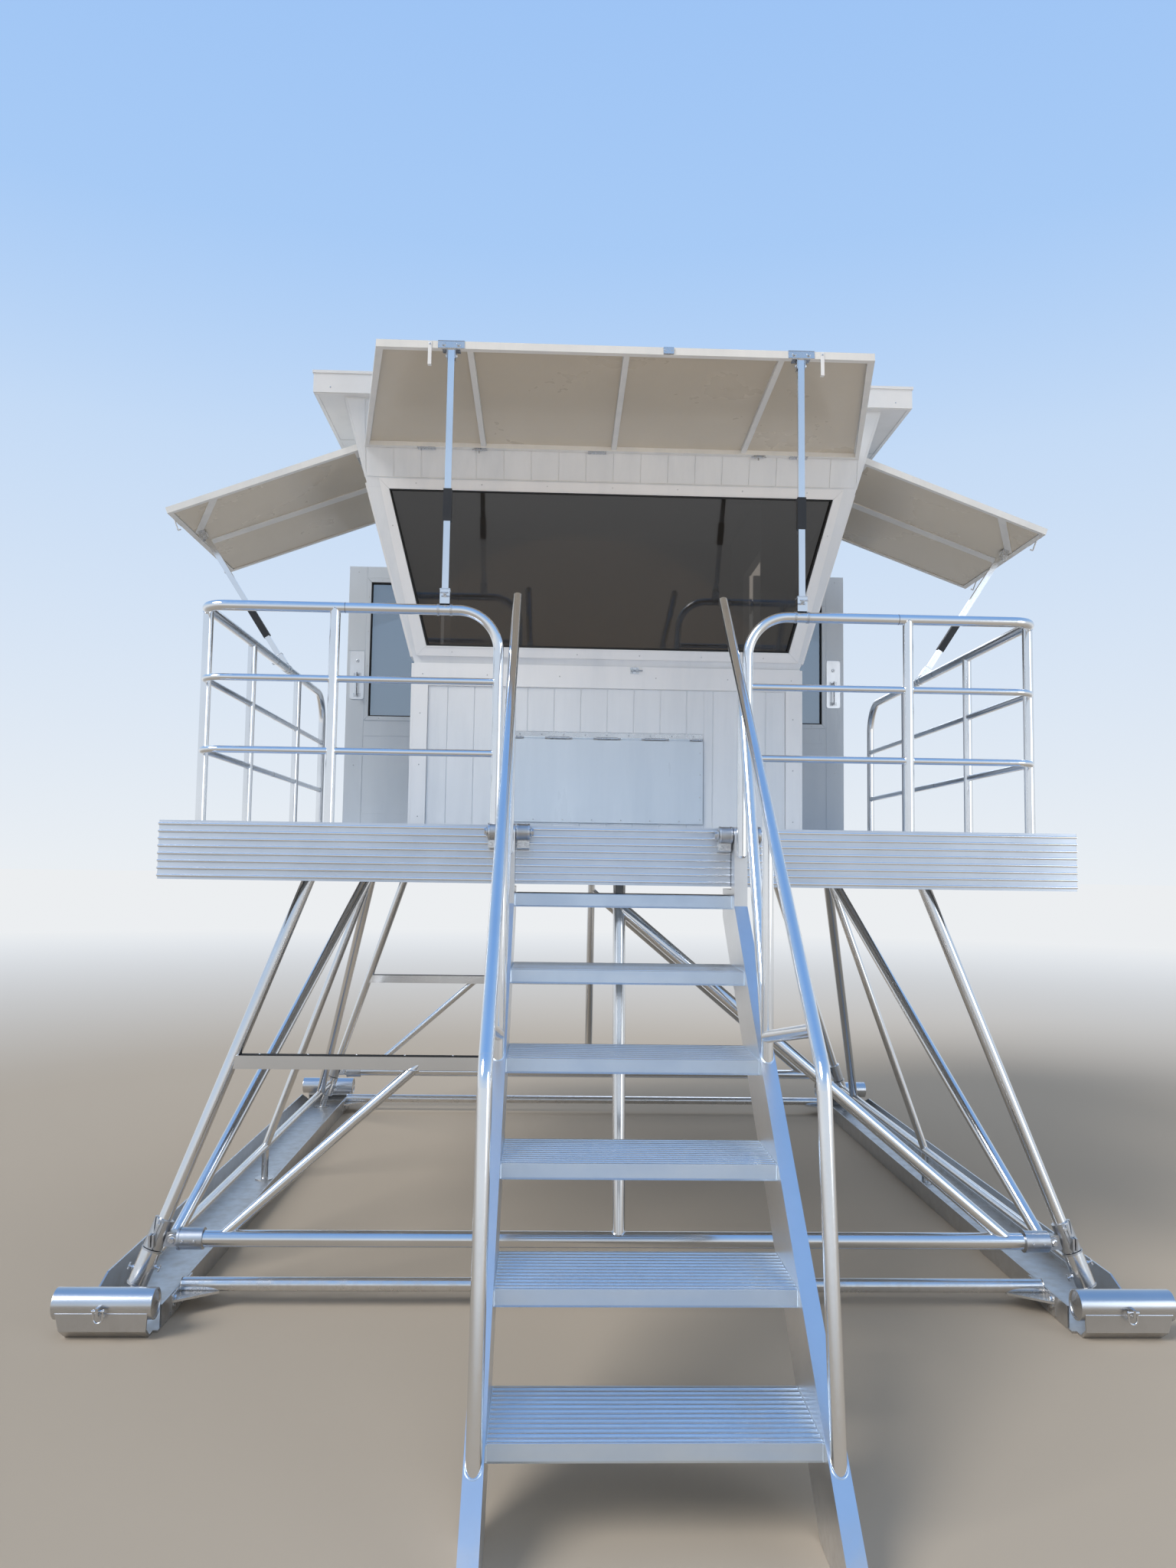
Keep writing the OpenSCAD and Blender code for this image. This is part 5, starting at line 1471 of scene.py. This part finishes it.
def swivel_parts(side, end, forward):
    """The disc with its bolts, and the tee's band with its screws."""
    pivot, tee = (spot((x, cross_y, cross_z), side, end) for x in (swivel_x, tee_x))
    disc = pivot + forward * 0.026
    stud(cast_strips, facing(disc, forward), 0.0255, 0.0045, 0.002, 0.0015)
    hex_bolt(frame_bolts, disc + forward * 0.0045, forward, 0.024, 0.011)
    hex_bolt(frame_bolts, pivot - forward * 0.026, -forward, 0.024, 0.011)
    cuff(cast_strips, facing(tee, (1, 0, 0)), 0.0455, 0.0495, -0.056, -0.046, 40)
    for u in (-0.026, 0.026):
        screw(frame_bolts, tee + Vector((u, 0, 0)) + forward * 0.0468, forward, 0.0065)


def jack_parts(side, end, way, outward):
    """Pins with nuts and tee handles through the jack sleeve, and the sleeve's two bands."""
    across = way.cross(outward)
    for z, turn in ((0.205, math.pi / 2), (0.175, -math.pi / 2), (0.205, math.pi)):
        out = math.cos(turn) * outward + math.sin(turn) * across
        start = spot(leg_at(z), side, end)
        grip = start + out * 0.064
        rod(jack_pins, start + out * 0.043, start + out * 0.068, 0.0055)
        rod(jack_pins, grip - way * 0.016, grip + way * 0.016, 0.0042)
        stud(jack_pins, facing(start + out * 0.043, out), 0.0105, 0.008, 0.001, 0.001, 6)
    inner, outer = 0.0424, 0.0466
    for z in (0.1225, 0.2650):
        lathe(cast_strips, [(inner, -0.0045), (outer, -0.0045), (outer, 0.0035), (inner, 0.0045)],
              facing(spot(leg_at(z), side, end), way), 36, True)


print("corner fittings ready")

# %% Collars, swivels and sleeves
for side, end in corners:
    way = turned_way(leg_way, side, end)
    forward = turned_way((0, -1, 0), side, end)
    outward = (forward - forward.dot(way) * way).normalized()
    collar_parts(side, end, way, outward)
    swivel_parts(side, end, forward)
    jack_parts(side, end, way, outward)
    for y, z in ((-0.022, 0.050), (0.202, 0.050), (-0.022, 0.080)):
        hex_bolt(frame_bolts, spot((1.967, y, z), side, end), (-side, 0, 0), 0.019, 0.010)
piece("collar_strips", cast_strips, cast_finish)
piece("frame_bolts", frame_bolts, steel_finish)
piece("jack_pins", jack_pins, steel_finish)

# %% [markdown]
# ## Runner noses
# The closed pipes at the runners' ends have a cap set in a rim, and a weld along the bent
# plate below. The cap is a shallow turned disc inside the rim, so that it catches a ring of
# shade as the real one does, which a flat painted end would not.

# %% Noses
nose_caps = bmesh.new()
nose_middle, nose_weld = (2.181, -0.240, 0.135), 0.0026
rim = [(0.0560, -0.005), (0.0634, -0.005), (0.0638, -0.002), (0.0630, 0.0012), (0.0575, 0.0012)]
cap = [(0, -0.0005), (0.030, -0.0005), (0.052, 0.0), (0.052, 0.0008), (0.030, 0.0025), (0, 0.0032)]
for side, end in corners:
    centre = spot(nose_middle, side, end)
    for e in (-1, 1):
        out = Vector((e, 0, 0))
        lathe(nose_caps, rim, facing(centre + out * 0.206, out), 48, True)
        bead(nose_caps, joint(centre + out * 0.2035, out, 0.0560, normal=out), nose_weld, out)
        lathe(nose_caps, cap, facing(centre + out * 0.2020, out), 40)
    low_front = centre + turned_way((0, -1, 0), side, end) * 0.0600 + Vector((0, 0, -0.0215))
    seam = [low_front + Vector((-0.190 + 0.004 * k, 0, 0)) for k in range(96)]
    bead(nose_caps, seam, nose_weld, up_way, closed=False)
piece("nose_caps", nose_caps, runner_finish)

# %% [markdown]
# ## Stair pins and prop sockets
# The stair hangs on two pins with nuts, above bolted saddles. Each prop stands in a square
# socket that a pair of straps holds to the rail, with a small tee screw to lock it. The prop
# leans, so its socket is built on a plane that the prop itself gives.

# %% Stair pins and saddles
pin_steel = bmesh.new()
for side in (-1, 1):
    hinge = spot((stair_x, -0.050, 2.157), side)
    for e in (-1, 1):
        out = Vector((e, 0, 0))
        tip, sleeve = facing(hinge + out * 0.0985, out), hinge + out * 0.065
        stud(pin_steel, tip, 0.0225, 0.005, 0.0015, 0.001)
        stud(pin_steel, tip, 0.0165, 0.015, 0.002, 0.002, 6, 0.005)
        for u in (-0.026, 0.026):
            cuff(pin_steel, facing(sleeve + Vector((u, 0, 0)), out), 0.0365, 0.0398, -0.004, 0.004, 40)
        low = sleeve + Vector((0, 0.010, -0.056))
        block(pin_steel, low + Vector((-0.030, -0.004, -0.020)), low + Vector((0.030, 0.0385, 0.024)),
              0.003)
        for u in (-0.016, 0.016):
            hex_bolt(pin_steel, low + Vector((u, -0.004, -0.002)), (0, -1, 0), 0.013, 0.007)
piece("stair_pin_nuts", pin_steel, steel_finish)

# %% Prop sockets
sockets = bmesh.new()
socket_half, prop_half = 0.0252, 0.0164
front_reach, prop_root_y = 1.178, front_root + 0.0003
front_prop = ((prop_x, rail_y), (prop_x, prop_root_y - front_reach * math.cos(tilt_front),
                                 shutter_z + front_reach * math.sin(tilt_front)), Vector((1, 0, 0)))
side_prop = ((rail_x, 1.900), (side_root + side_prop_v * math.cos(tilt_side), 1.900,
                               shutter_z - side_prop_v * math.sin(tilt_side)), Vector((0, 1, 0)))


def socket(foot, head, along, side):
    """Straps round the rail, a tee screw and a collar, square to the prop."""
    base = spot((*foot, rail_z), side)
    way = (spot(head, side) - base).normalized()
    for u in (-0.031, 0.031):
        cuff(sockets, facing(base + along * u, along), 0.0256, 0.0284, -0.006, 0.006, 28)
    out = along.cross(way).normalized()
    if out.y > 0 or (foot[0] == rail_x and out.x * side < 0):
        out = -out
    start = base + way * 0.070 + out * 0.0240
    stud(sockets, facing(start, out), 0.0100, 0.009, 0.001, 0.001, 6)
    rod(sockets, start, start + out * 0.038, 0.0045)
    grip = start + out * 0.034
    rod(sockets, grip - along * 0.020, grip + along * 0.020, 0.0036)
    mitred(sockets, rectangle(-socket_half, -socket_half, socket_half, socket_half),
           rectangle(-prop_half, -prop_half, prop_half, prop_half),
           axes(base + way * 0.0992, along, out, way), -0.0040, 0.0022, 0.0008, 0.0)


for side in (-1, 1):
    for foot, head, along in (front_prop, side_prop):
        socket(foot, head, along, side)
piece("prop_sockets", sockets, steel_finish)

# %% [markdown]
# ## The size
# The boards and bolts may stand a little proud of the drawing, but the tower must stay the
# size that it was drawn. The last cell prints how far, in millimetres, each face of the box
# round everything has moved.

# %% Print how far the size has grown
dressed_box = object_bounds()
grown = [round(1000 * abs(b - a), 1) for old, new in zip(cad_box, dressed_box)
         for a, b in zip(old, new)]
print("grown by, in mm", grown)
